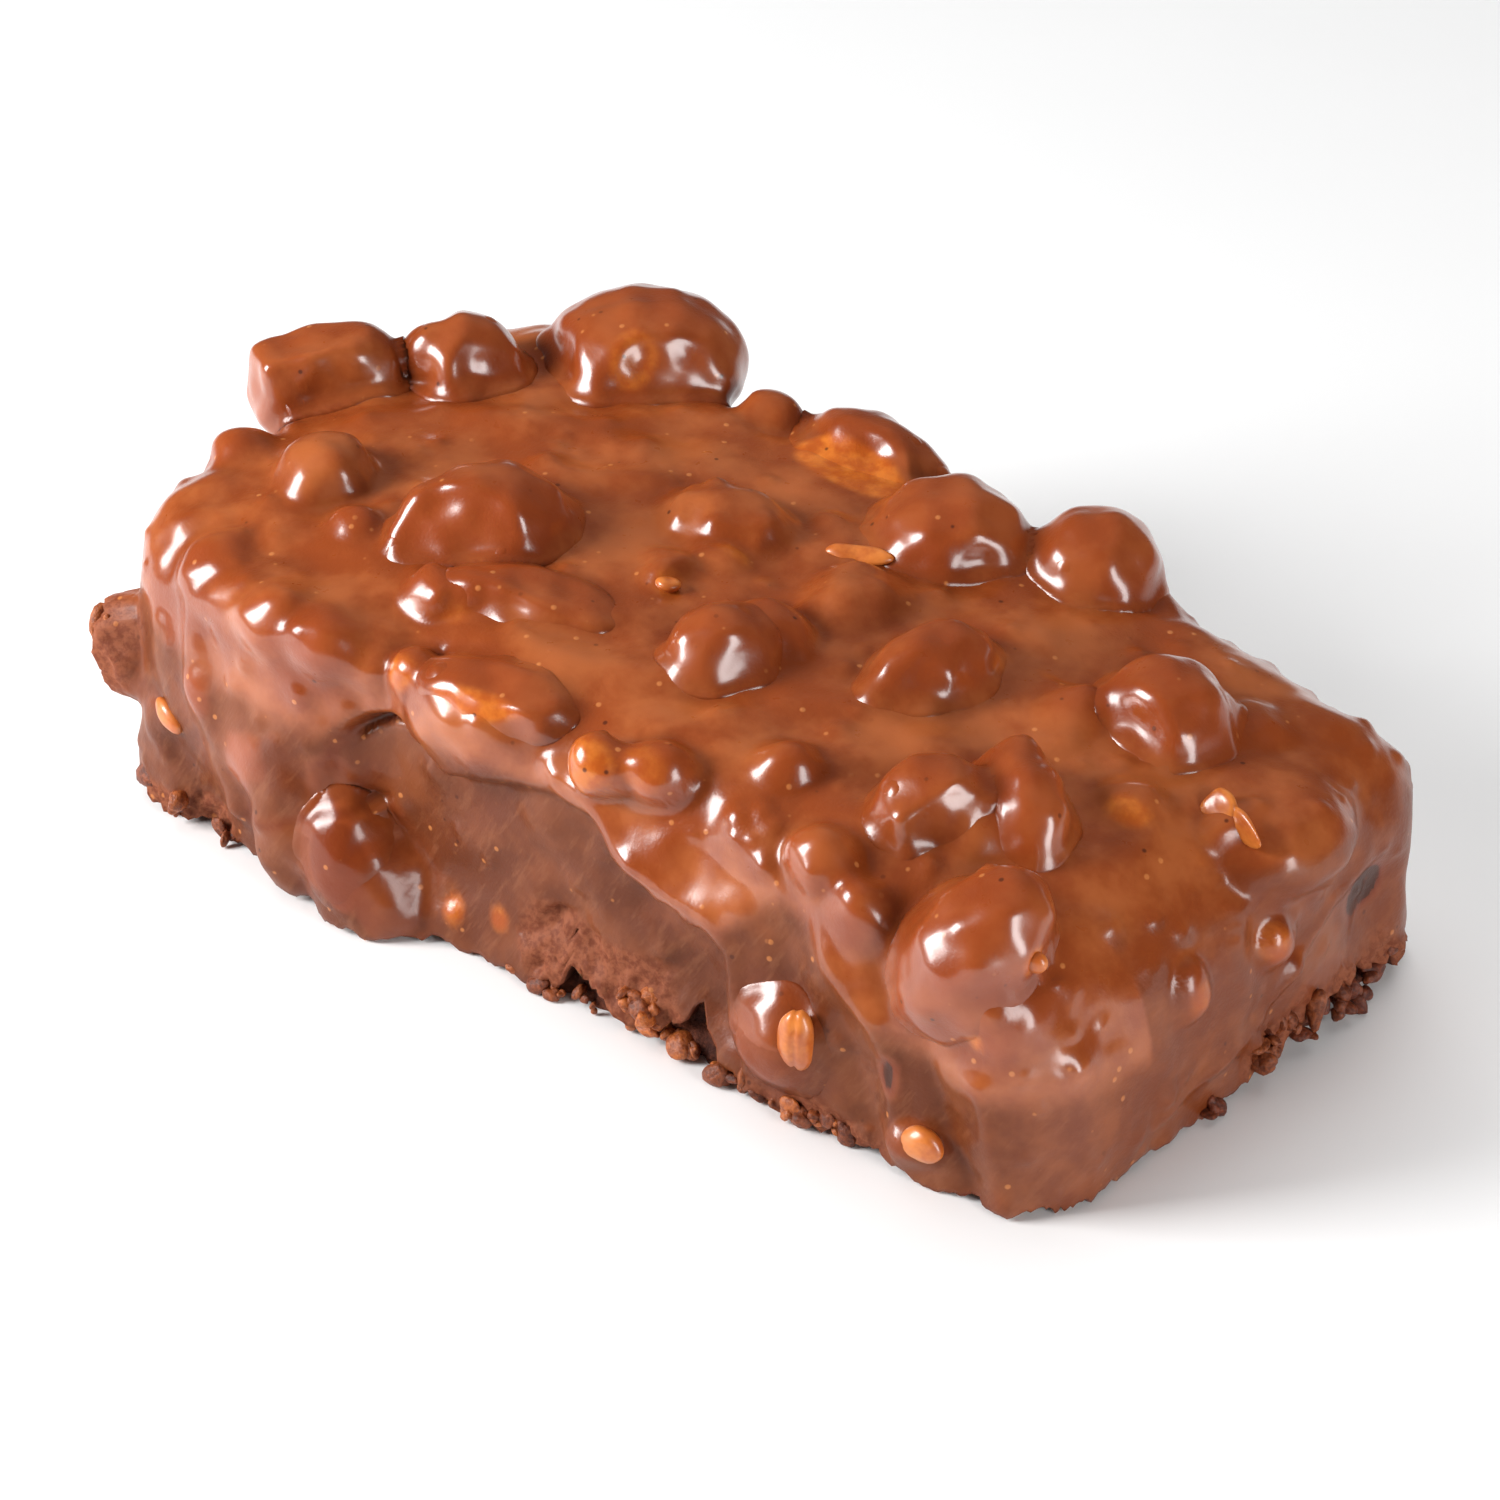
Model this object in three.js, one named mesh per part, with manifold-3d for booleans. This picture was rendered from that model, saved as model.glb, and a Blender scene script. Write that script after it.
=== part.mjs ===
// A brownie bar dipped in milk chocolate, with whole and halved hazelnuts standing out of the coat.
// The frame is in millimetres: +X runs along the bar to its low end, +Y to its far side, +Z up,
// and the bar rests on z = 0. Every piece is a closed solid:
//   brownie      the baked crumb, which runs through the bar and shows under the coat's ragged hem
//   coating      one chocolate shell over the top and sides, with small nut pieces fused under it
//   hazelnut_NN  each large nut with its own film of chocolate, seated in a socket of the coat
import * as THREE from "three";
import { mergeVertices } from "three/addons/utils/BufferGeometryUtils.js";
import Module from "manifold-3d";

const wasm = await Module();
wasm.setup();

// ---------------------------------------------------------------- driving dimensions

const HALF_LENGTH = 60.4;
const LENGTH_CENTRE = -0.8; // the bar's middle in X, in the frame that the nuts are placed in
const ORIGIN_SHIFT = [2, -1.7, 0]; // brings the middle of the whole box, nuts included, to x = y = 0
const HALF_WIDTH = 30.2;
const MID_HEIGHT = 33.6; // top of the coat at the middle of the bar
const HEIGHT_SLOPE = 0.06; // height lost for each millimetre towards +X
const LENGTH_CROWN = 0.0009; // curvature of the top along the bar
const WIDTH_CROWN = 0.0016; // curvature of the top across the bar
const CROWN_LINE = 8; // the ridge of that crown lies this far towards the far side
const END_SLANT = 0.08; // how far the +X end leans back on the near side
const CORNER = 7.6; // radius of the upright edges
const SHOULDER = 7.6; // radius of the top's edges; the next three are what some places have more
const NEAR_SOFTER = 3; // along the near side
const LEFT_SOFTER = 2.6; // along the near side of the high half
const LOW_SOFTER = 4.4; // towards the low end
const SIDE_COAT = 2.6; // chocolate on the sides
const TOP_COAT = 7; // chocolate and nuts on the top
const FIT_GAP = 0.3; // between neighbouring pieces
const HEM = 0.7; // the coat ends this far above the table
const REACH = 14; // rays start this far outside the shoulder
const COLLAR = 3.5; // how softly the coat rises against a nut
const SUNK = 1.8; // the coat's own surface passes this far under a nut's skin
const UNDER_TOP = [12, 4]; // between these depths the coat thickens from its side to its top value
const KERNEL_POINT = 0.05; // a kernel is this share longer at one end
const KERNEL_WAVE = 0.03; // and this far from round
const FLAT_SHARE = 0.85; // how far a broken side is pressed flat
const STRIDE = 0.75; // share of the distance that one step along a ray takes
const CLOSE = 0.005; // a ray has arrived when it is this near the surface

// Cells of the coat's and the crumb's meshes along X, Y and Z.
const COAT_CELLS = [24, 12, 6];
const CRUMB_CELLS = [12, 6, 3];

// ---------------------------------------------------------------- what lies where

// Large nuts: centre, half-sizes, lean towards their own X and turn about Z in degrees, and flat
// sides where the kernel is broken, each a direction and its depth as a share of the nut.
const NUTS = [
  {
    at: [-59.2, 3.4, 34.4], half: [9.2, 5.2, 7], turn: 46,
    flats: [[-0.26, 0, 1, 0.72], [-1, -0.15, 0.1, 0.82], [1, 0, 0.1, 0.84], [0, -1, 0.25, 0.8]],
  },
  {
    at: [-48.8, 13.6, 34.8], half: [6.4, 6, 6.2], turn: 20,
    flats: [[-0.7, -0.9, 0.2, 0.82], [0.9, -0.7, 0.5, 0.8], [-0.9, 0.1, 0.9, 0.86]],
  },
  {
    at: [-35.7, 27.6, 34.2], half: [11, 10, 7.4], turn: 35,
    flats: [[0.3, -1, 0.35, 0.8], [-1, -0.35, 0.2, 0.84]],
  },
  {
    at: [-7, 27.6, 31], half: [9.4, 6.8, 5.8], turn: -6,
    flats: [[0.3, -0.9, 0.62, 0.56], [-0.8, -0.5, 0.6, 0.8], [1, 0.2, 0.3, 0.86]],
  },
  {
    at: [9.8, 20, 31.9], half: [8.2, 7.4, 6.8], turn: 12,
    flats: [[-0.2, -0.3, 1, 0.92], [0.9, -1, 0.1, 0.86]],
  },
  { at: [23, 26.2, 31.4], half: [6.5, 6.3, 6.1] },
  { at: [41.8, 10, 29.3], half: [6.8, 6.5, 6], turn: -35, flats: [[0.5, -0.9, 0.25, 0.74]] },
  { at: [22, -0.2, 31.5], half: [4.5, 7.4, 5.3], turn: -10, flats: [[0.6, -1, 0.5, 0.82]] },
  { at: [5.1, -11.3, 33.3], half: [4.9, 4.8, 4.7], flats: [[0.8, -0.4, 0.3, 0.84]] },
  {
    at: [-26.4, -9.2, 33.8], half: [7.4, 9.2, 7], turn: -30,
    flats: [[0.75, -0.7, 0.5, 0.66], [-1, -0.3, 0.3, 0.84]],
  },
  {
    at: [-15.6, -15.6, 31.9], half: [9.2, 4.2, 4.4], turn: 18,
    flats: [[0, -1, 0.25, 0.66], [0.5, 0, 1, 0.7]],
  },
  {
    at: [34.2, -16.6, 30.2], half: [5.4, 5.4, 5.4],
    flats: [[0.8, -0.55, 0.15, 0.62], [0, -0.6, 1, 0.88]],
  },
  { at: [39.8, -10.8, 30.2], half: [6.8, 4, 4.8], turn: -35, flats: [[-0.1, -1, 0.4, 0.68]] },
  { at: [45.4, -25.6, 25], half: [5.6, 6.2, 9], turn: 38, lean: 36, flats: [[1, -0.4, 0.1, 0.86]] },
  { at: [-26.6, -30.6, 7.4], half: [4.3, 4.2, 6], turn: 10, lean: -14 },
  { at: [27, -28.8, 8.8], half: [5.2, 4.4, 5] },
  {
    at: [-9.4, -26.8, 30.2], half: [7.6, 3.4, 3.2], turn: 8,
    flats: [[0, -0.4, 1, 0.6], [0, -1, 0.1, 0.7]],
  },
  // on the sides that face away
  { at: [8, 30.4, 14], half: [5.6, 4.4, 5.8], turn: -12 },
  { at: [-36, 30.8, 9.5], half: [6, 4.4, 5.6], turn: 15 },
  { at: [-61.4, 9, 14], half: [3.8, 5.8, 5.2], flats: [[-1, 0.4, 0.2, 0.78]] },
];

// Wide swellings where the coat runs thick, or well over a low nut: centre, half-sizes, turn about
// Z, and the softness of the foot.
const SWELLS = [
  { at: [-8.5, 7.2, 32.8], half: [7.2, 5.4, 4.6], turn: 10, soft: 1.8 },
  { at: [-46.2, -10.8, 33.4], half: [5.2, 5.2, 5], soft: 1.8 },
  { at: [9.4, 4.6, 31.2], half: [5.2, 5.6, 4.3], soft: 2 },
  { at: [57, 8, 23.5], half: [6, 8, 4.6], soft: 3 },
  { at: [-44, 26, 30.6], half: [9, 6, 4.4], soft: 3 },
  { at: [-36, -27, 28.6], half: [14, 4.6, 4], soft: 4 },
  { at: [-24.6, -30.4, 2.6], half: [6.2, 4.4, 7.2], soft: 3 },
  { at: [-56, -18, 27], half: [5.2, 6.6, 6], soft: 4 },
  { at: [-36, -29, 17], half: [9, 3.4, 9], soft: 5 },
  { at: [-33.4, -31.2, 8], half: [4.2, 4.2, 9], soft: 2 },
  { at: [-12.5, -27.4, 27], half: [8, 4.2, 4.6], soft: 2.4 },
  { at: [37.6, -14.4, 28.6], half: [4.6, 4.4, 3.6], turn: -35, soft: 2 },
  { at: [28, 28, 25.6], half: [4.4, 3, 4.4], soft: 3 },
];

// Broken kernels and crumbs of nut just under the chocolate, fused to the coat.
const BITS = [
  // on the top
  { at: [6.4, -5.6, 32.4], half: [4.6, 4, 3.8] },
  { at: [-19, 28, 32.6], half: [3.6, 3.2, 3.4] },
  { at: [0.4, 29.4, 31], half: [2.4, 2.2, 2.6] },
  { at: [34.8, 4.4, 29.2], half: [3.2, 3.8, 3.2], turn: 10 },
  { at: [48, 16, 27], half: [3.6, 3.2, 3] },
  { at: [19.6, -19.6, 30.2], half: [2.9, 2.6, 3.1], turn: 20 },
  { at: [28.6, -25.8, 27.6], half: [3.6, 3, 3.2] },
  { at: [34, -27.2, 24.6], half: [3, 2.6, 3.4] },
  { at: [4.8, -29, 29.6], half: [3.1, 2.8, 3.1] },
  { at: [9.8, -26.4, 29.8], half: [3.8, 3, 3], turn: 20 },
  { at: [-57.4, -11, 32], half: [3.6, 3.4, 3.4] },
  { at: [-37.6, -15.6, 33.2], half: [2.8, 2.4, 2.3] },
  { at: [-7.2, -3.6, 33.2], half: [2.6, 3.4, 2.3], turn: 10, flats: [[1, -0.3, 0.4, 0.7]] },
  { at: [-19.4, -27.4, 29.4], half: [2.6, 2.4, 2.6] },
  { at: [-23.4, -19.6, 32.2], half: [3.4, 2.8, 3.2], turn: 20 },
  { at: [-5, 1.4, 33.2], half: [3, 1.8, 1.9] },
  { at: [54.4, 3.4, 26.2], half: [2.2, 4.2, 2.4], turn: -20 },
  { at: [46.2, -2.4, 28.2], half: [3.2, 3, 2.2] },
  // on the near shoulder and side
  { at: [-35.8, -29.4, 30.2], half: [3.4, 3, 3] },
  { at: [-29.6, -29.2, 30], half: [3.4, 2.8, 2.8] },
  { at: [-47, -25.4, 30.2], half: [3.4, 3, 3] },
  { at: [-36.8, -30.6, 14.4], half: [4.2, 3, 4] },
  { at: [-45, -30.2, 19], half: [2.3, 2.2, 2.8] },
  { at: [-53.6, -28.4, 10.8], half: [2.1, 2, 2.6] },
  { at: [42.4, -29.8, 4.4], half: [2.9, 2.2, 2.4] },
  { at: [-61.6, -25.4, 17.2], half: [3.4, 3.6, 3.8] },
  { at: [-60.4, -26.2, 13.6], half: [3, 3.2, 3.6] },
  // on the low end
  { at: [58.2, -10, 16.8], half: [2, 2.4, 3] },
  { at: [59.6, 2.4, 16], half: [2, 2.6, 2.6] },
  // on the far side and the high end
  { at: [-20, 28.8, 20], half: [3.6, 2.8, 3.4] },
  { at: [28, 29.6, 7], half: [3.4, 2.8, 3.2] },
  { at: [44, 29.2, 17], half: [3, 2.6, 3] },
  { at: [-52, 29, 20], half: [3.4, 2.8, 3.6] },
  { at: [-60.6, -6, 21], half: [2.4, 3, 3.2] },
];

// Hollows: where the coat ran thin or drew back between its thick folds.
const HOLLOWS = [
  { at: [5, -37, 13.5], half: [21, 10.4, 9.6], soft: 3 },
  { at: [-19.6, -33, 14], half: [5.6, 6.6, 10], soft: 1.4 },
  { at: [-66, -42, 24], half: [13, 14.6, 22], soft: 8 },
  { at: [-45, -38, 1], half: [8, 7, 7], soft: 3 },
  { at: [66.4, 32.6, 32], half: [11.4, 11.4, 11.4], soft: 5 },
  { at: [66.4, -18, -2], half: [7.6, 13, 9], soft: 4 },
  { at: [64.4, 19, 11.6], half: [4.4, 5.4, 6.6], soft: 2.4 },
  { at: [62, -34, 4], half: [8, 8, 24], soft: 6 },
  { at: [-8, 34.5, 14], half: [13, 7.6, 9], soft: 3 },
  { at: [-66, 4, 8], half: [7.6, 10, 7], soft: 3 },
];

// Places where the hem is torn away and the crumb shows: centre, height and half-width.
const TEARS = [
  { at: [2.4, -29], height: 4.4, half: 3.4 },
  { at: [15.5, -29], height: 5.4, half: 3.8 },
  { at: [60, 15], height: 4.4, half: 9 },
  { at: [-57, -25], height: 3.8, half: 4 },
  { at: [-8, 28], height: 3.8, half: 8 },
  { at: [38, 28], height: 3, half: 5 },
  { at: [-60, 10], height: 3.2, half: 6 },
];

// ---------------------------------------------------------------- the coat as a distance field

// Smooth minimum and maximum: two shapes meet in a fillet of about the given softness.
function blend(a, b, soft) {
  const share = Math.max(soft - Math.abs(a - b), 0) / soft;
  return Math.min(a, b) - (share * share * soft) / 4;
}
const carve = (a, b, soft) => -blend(-a, -b, soft);

const ACROSS = new THREE.Vector3(0, 1, 0);
const UPRIGHT = new THREE.Vector3(0, 0, 1);

function ellipsoid(p, { at, half, turn = 0, lean = 0 }, shrink = 0) {
  const local = new THREE.Vector3(p.x - at[0], p.y - at[1], p.z - at[2])
    .applyAxisAngle(UPRIGHT, -THREE.MathUtils.degToRad(turn))
    .applyAxisAngle(ACROSS, -THREE.MathUtils.degToRad(lean))
    .toArray();
  const once = Math.hypot(...local.map((v, i) => v / (half[i] - shrink)));
  const twice = Math.hypot(...local.map((v, i) => v / (half[i] - shrink) ** 2));
  return (once * (once - 1)) / Math.max(twice, 1e-6);
}

const topHeight = (x, y) =>
  MID_HEIGHT - HEIGHT_SLOPE * x - LENGTH_CROWN * x * x - WIDTH_CROWN * (y - CROWN_LINE) ** 2;

// Slow waves that keep a poured surface from looking machined.
const ripple = ({ x, y, z }) =>
  0.3 * Math.sin(0.31 * x + 1.1 * Math.sin(0.17 * y)) * Math.sin(0.27 * y + 0.21 * z + 0.6) +
  0.22 * Math.sin(0.52 * x - 0.4 * z + 1.7) * Math.cos(0.45 * y + 0.33 * z);

function bareBar({ x, y, z }) {
  const { clamp, smoothstep } = THREE.MathUtils;
  const along = x - LENGTH_CENTRE;
  const slanted = along - END_SLANT * y * clamp(along / HALF_LENGTH, 0, 1);
  const across = [Math.abs(slanted) - (HALF_LENGTH - CORNER), Math.abs(y) - (HALF_WIDTH - CORNER)];
  const outside = Math.hypot(...across.map((v) => Math.max(v, 0)));
  const side = outside + Math.min(Math.max(...across), 0) - CORNER;
  const near = smoothstep(-y, 6, 24);
  const low = smoothstep(x, 34, 54) * (1 - 0.7 * smoothstep(y, -4, 16));
  const radius = SHOULDER + near * (NEAR_SOFTER + LEFT_SOFTER * smoothstep(-x, 8, 24)) + LOW_SOFTER * low;
  const out = [side + radius, z - topHeight(x, y) + radius];
  return Math.hypot(...out.map((v) => Math.max(v, 0))) + Math.min(Math.max(...out), 0) - radius;
}

function coatField(p) {
  let d = bareBar(p) + ripple(p);
  for (const hollow of HOLLOWS) d = carve(d, -ellipsoid(p, hollow), hollow.soft);
  for (const swell of SWELLS) d = blend(d, ellipsoid(p, swell), swell.soft);
  for (const nut of NUTS) d = blend(d, ellipsoid(p, nut, SUNK), COLLAR);
  return d;
}

// ---------------------------------------------------------------- meshes from the field

// Walks in along a ray until the field falls to the wanted level.
function walkIn(from, direction, field, level) {
  const p = new THREE.Vector3();
  let t = SHOULDER + REACH;
  for (let step = 0; step < 60; step++) {
    const d = field(p.copy(direction).multiplyScalar(t).add(from)) - level;
    if (Math.abs(d) < CLOSE || t < 0) break;
    t -= STRIDE * d;
  }
  return p.copy(direction).multiplyScalar(t).add(from);
}

function hemHeight(x, y) {
  let z = HEM;
  for (const { at, height, half } of TEARS)
    z += height * Math.exp(-((x - at[0]) ** 2 + (y - at[1]) ** 2) / half ** 2);
  return z;
}

// A box of fine cells drawn onto a field. Its sides stand on footing(x, y), and its bottom face
// closes it there.
function drawnBox(cells, field, level, footing) {
  const box = new THREE.BoxGeometry(2, 2, 2, ...cells);
  const place = box.getAttribute("position");
  const inner = [HALF_LENGTH - SHOULDER, HALF_WIDTH - SHOULDER];

  function onSkin(bx, by, bz) {
    const x = LENGTH_CENTRE + bx * HALF_LENGTH;
    const y = by * HALF_WIDTH;
    const foot = footing(x, y);
    const top = topHeight(x, y);
    const z = foot + ((bz + 1) / 2) * (top - foot);
    const core = new THREE.Vector3(
      THREE.MathUtils.clamp(x, LENGTH_CENTRE - inner[0], LENGTH_CENTRE + inner[0]),
      THREE.MathUtils.clamp(y, -inner[1], inner[1]),
      Math.min(z, top - SHOULDER),
    );
    return walkIn(core, new THREE.Vector3(x, y, z).sub(core).normalize(), field, level);
  }

  for (let i = 0; i < place.count; i++) {
    const [bx, by, bz] = [place.getX(i), place.getY(i), place.getZ(i)];
    const ring = Math.max(Math.abs(bx), Math.abs(by));
    let p;
    if (bz > -1 || ring === 1) {
      p = onSkin(bx, by, bz);
    } else if (ring === 0) {
      p = new THREE.Vector3(0, 0, footing(0, 0));
    } else {
      p = onSkin(bx / ring, by / ring, -1);
      p.x *= ring;
      p.y *= ring;
    }
    place.setXYZ(i, p.x, p.y, p.z);
  }
  return box;
}

// A ball as fine as its size deserves.
function ball(longest) {
  if (longest > 10) return new THREE.IcosahedronGeometry(1, 3);
  if (longest > 4.3) return new THREE.IcosahedronGeometry(1, 2);
  return new THREE.OctahedronGeometry(1, longest > 3.5 ? 2 : 1);
}

function nutGeometry({ at, half, turn = 0, lean = 0, flats = [] }, grow = 0) {
  const nut = ball(Math.max(...half));
  const place = nut.getAttribute("position");
  const v = new THREE.Vector3();
  const size = new THREE.Vector3(...half).addScalar(grow);
  for (let i = 0; i < place.count; i++) {
    v.fromBufferAttribute(place, i).normalize();
    v.multiplyScalar(1 + KERNEL_POINT * v.y ** 3 + KERNEL_WAVE * Math.sin(4 * v.x + 3 * v.z + at[0]));
    for (const [fx, fy, fz, depth] of flats) {
      const side = new THREE.Vector3(fx, fy, fz).normalize();
      const over = v.dot(side) - depth;
      if (over > 0) v.addScaledVector(side, -FLAT_SHARE * over);
    }
    v.multiply(size);
    place.setXYZ(i, v.x, v.y, v.z);
  }
  nut.rotateY(THREE.MathUtils.degToRad(lean));
  return nut.rotateZ(THREE.MathUtils.degToRad(turn)).translate(...at);
}

// ---------------------------------------------------------------- solids

function solid(geometry) {
  const bare = new THREE.BufferGeometry();
  bare.setAttribute("position", geometry.getAttribute("position"));
  if (geometry.index) bare.setIndex(geometry.index);
  const merged = mergeVertices(bare, 1e-4);
  return new wasm.Manifold(
    new wasm.Mesh({
      numProp: 3,
      vertProperties: merged.getAttribute("position").array,
      triVerts: new Uint32Array(merged.index.array),
    }),
  );
}

// A cut can leave a loose scrap beside a nut: only the largest body is the piece.
function largest(body) {
  return body.decompose().reduce((a, b) => (b.volume() > a.volume() ? b : a));
}

function asMesh(name, body, material) {
  const { vertProperties, triVerts } = body.getMesh();
  const geometry = new THREE.BufferGeometry();
  geometry.setAttribute("position", new THREE.BufferAttribute(vertProperties, 3));
  geometry.setIndex(new THREE.BufferAttribute(triVerts, 1));
  geometry.computeVertexNormals();
  const mesh = new THREE.Mesh(geometry, material);
  mesh.name = name;
  return mesh;
}

const chocolate = new THREE.MeshStandardMaterial({ color: 0x9c5634, roughness: 0.3, metalness: 0 });
const crumb = new THREE.MeshStandardMaterial({ color: 0x3a1c10, roughness: 0.95, metalness: 0 });
const coatedNut = new THREE.MeshStandardMaterial({ color: 0x8a4520, roughness: 0.22, metalness: 0 });

// The crumb follows the coat at its thickness, which is greater under the top.
function crumbField(p) {
  const top = topHeight(p.x, p.y);
  const under = THREE.MathUtils.smoothstep(p.z, top - UNDER_TOP[0], top - UNDER_TOP[1]);
  return bareBar(p) + ripple(p) + SIDE_COAT + under * (TOP_COAT - SIDE_COAT);
}

function crumbInHollows(p) {
  let d = crumbField(p);
  for (const hollow of HOLLOWS)
    d = carve(d, SIDE_COAT - ellipsoid(p, hollow), hollow.soft);
  return d;
}

const sockets = NUTS.map((nut) => solid(nutGeometry(nut, FIT_GAP)));
const onTable = () => 0;

let brownie = solid(drawnBox(CRUMB_CELLS, crumbInHollows, 0, onTable));
const cavity = solid(drawnBox(CRUMB_CELLS, crumbInHollows, FIT_GAP, onTable));
let coating = solid(drawnBox(COAT_CELLS, coatField, 0, hemHeight));
for (const bit of BITS) coating = coating.add(solid(nutGeometry(bit)));
coating = coating.subtract(cavity);
for (const socket of sockets) {
  coating = coating.subtract(socket);
  brownie = brownie.subtract(socket);
}

const bar = new THREE.Group();
bar.position.set(...ORIGIN_SHIFT);
bar.add(asMesh("brownie", largest(brownie), crumb));
bar.add(asMesh("coating", largest(coating), chocolate));
NUTS.forEach((nut, i) => {
  const name = `hazelnut_${String(i + 1).padStart(2, "0")}`;
  // where two kernels press together, the later one is flattened by the earlier
  let kernel = solid(nutGeometry(nut));
  for (const other of sockets.slice(0, i)) kernel = kernel.subtract(other);
  bar.add(asMesh(name, kernel, coatedNut));
});

export default bar;
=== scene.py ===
# %% [markdown]
# # A brownie bar in milk chocolate, with hazelnuts
# The real thing is a baked bar that was dipped: a dark crumb runs through it, milk chocolate was
# poured over the top and sides, and roasted hazelnuts, whole and broken, lie under that coat or
# stand out of it. This notebook dresses the plain solids of the bar for a close-up picture. It
# loads them first, because every piece made later has to lie exactly where a solid lies.

# %% Load the plain solids
import math

import bmesh
import bpy
import numpy as np
from mathutils import Matrix, Vector


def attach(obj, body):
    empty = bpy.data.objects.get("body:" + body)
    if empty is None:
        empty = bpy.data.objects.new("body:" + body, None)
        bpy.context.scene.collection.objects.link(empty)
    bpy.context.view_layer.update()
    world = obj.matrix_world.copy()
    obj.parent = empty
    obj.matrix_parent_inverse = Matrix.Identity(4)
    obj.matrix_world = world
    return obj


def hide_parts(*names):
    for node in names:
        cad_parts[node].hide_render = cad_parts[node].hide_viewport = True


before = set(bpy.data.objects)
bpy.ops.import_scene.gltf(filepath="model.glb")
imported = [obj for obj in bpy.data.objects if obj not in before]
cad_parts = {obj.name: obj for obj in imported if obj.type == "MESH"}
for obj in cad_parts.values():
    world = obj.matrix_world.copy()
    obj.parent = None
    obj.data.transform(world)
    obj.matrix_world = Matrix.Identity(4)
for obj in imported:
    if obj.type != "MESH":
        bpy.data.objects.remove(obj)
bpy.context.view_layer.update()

# %% [markdown]
# ## The camera
# A camera is easiest to set as a photographer would describe it: how far round the object it
# stands, how high, how far away, and with what lens. `Matrix` columns are the camera's own axes:
# right, up, and back towards the photographer.

# %% Camera
MM = 0.001
SHIFT = np.array([2.0, -1.7, 0.0])  # mm, from the bar's own middle to the middle of its whole box
AZIMUTH, ELEVATION = math.radians(38), math.radians(34)
CAMERA_DISTANCE = 416.67  # mm
LENS, SENSOR = 100, 36  # mm
AIM = Vector((0, 0, 14))  # mm, in the bar's own frame

back = Vector((
    math.sin(AZIMUTH) * math.cos(ELEVATION),
    -math.cos(AZIMUTH) * math.cos(ELEVATION),
    math.sin(ELEVATION),
))


def look_from(direction, distance, aim):
    """A placing for a camera or a lamp that looks at aim along minus direction. In mm."""
    side = Vector((0, 0, 1)).cross(direction).normalized()
    turned = Matrix((side, direction.cross(side), direction)).transposed().to_4x4()
    return Matrix.Translation((aim + direction * distance + Vector(SHIFT)) * MM) @ turned


camera = bpy.data.objects.new("camera", bpy.data.cameras.new("camera"))
camera.data.lens = LENS
camera.data.sensor_width = SENSOR
camera.data.clip_start, camera.data.clip_end = 0.01, 20
camera.matrix_world = look_from(back, CAMERA_DISTANCE, AIM)
bpy.context.collection.objects.link(camera)
bpy.context.scene.camera = camera
print("camera at", [round(v, 3) for v in camera.matrix_world.translation])

# %% [markdown]
# ## The light and the floor
# Gloss shows the lamps themselves, so each lamp is placed where its reflection should fall. A
# broad lamp on the left gives the white spots on the left of every nut, a low card on the right
# gives the dim window on their other side. A soft lamp overhead lights the top and throws the thin
# shadow under the near side, and one behind fills the far side; neither of them shows in the gloss.

# %% Lamps and world
LAMP_AIM = Vector((0, 0, 20))  # mm
WORLD_LIGHT = 0.06


def lamp(name, direction, distance, size, watts, mirrored=True):
    """A rectangular lamp. One that isn't mirrored lights the object but is not seen in its gloss."""
    made = bpy.data.objects.new(name, bpy.data.lights.new(name, "AREA"))
    made.data.shape = "RECTANGLE"
    made.data.size, made.data.size_y = size
    made.data.energy = watts
    made.visible_glossy = mirrored
    made.matrix_world = look_from(Vector(direction).normalized(), distance, LAMP_AIM)
    bpy.context.collection.objects.link(made)
    return made


lamp("left_box", (-0.61, -0.66, 0.44), 410, (0.17, 0.19), 2.6)
lamp("right_card", (0.95, -0.25, 0.14), 420, (0.13, 0.34), 1.5)
lamp("top_box", (-0.2, 0.3, 1), 1400, (1.6, 1.6), 11, mirrored=False)
lamp("back_box", (-0.4, 0.75, 0.5), 1300, (1.2, 0.8), 6, mirrored=False)

world = bpy.data.worlds.new("studio")
world.use_nodes = True
world.node_tree.nodes["Background"].inputs["Color"].default_value = (1, 1, 1, 1)
world.node_tree.nodes["Background"].inputs["Strength"].default_value = WORLD_LIGHT
bpy.context.scene.world = world
bpy.context.scene.view_settings.view_transform = "Standard"

# %% [markdown]
# A bmesh is only data in memory until it is copied into a mesh, and the mesh into an object. Every
# piece ends that way, so the helper is written once, and the floor is the first to use it.

# %% Floor
FLOOR_SIZE = 3.0  # m


def mesh_object(name, bm, finish=None):
    """Turns a bmesh into an object at the origin, with its faces smooth."""
    mesh = bpy.data.meshes.new(name)
    bm.to_mesh(mesh)
    bm.free()
    mesh.polygons.foreach_set("use_smooth", [True] * len(mesh.polygons))
    made = bpy.data.objects.new(name, mesh)
    bpy.context.collection.objects.link(made)
    if finish:
        mesh.materials.append(finish)
    return made


sheet = bmesh.new()
bmesh.ops.create_grid(sheet, x_segments=2, y_segments=2, size=FLOOR_SIZE / 2)
floor = mesh_object("floor", sheet)
print("floor:", FLOOR_SIZE, "m wide")

# %% [markdown]
# ## Shader sums written as sums
# Wiring nodes by hand hides the idea of a material. Here one small class stands for one output
# of a node, and its operators add Math nodes, so that `1 - mask` or `0.3 * noise + mask` can be
# written as it is meant. Colours go through Mix nodes, because a Math node would turn them grey.

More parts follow.
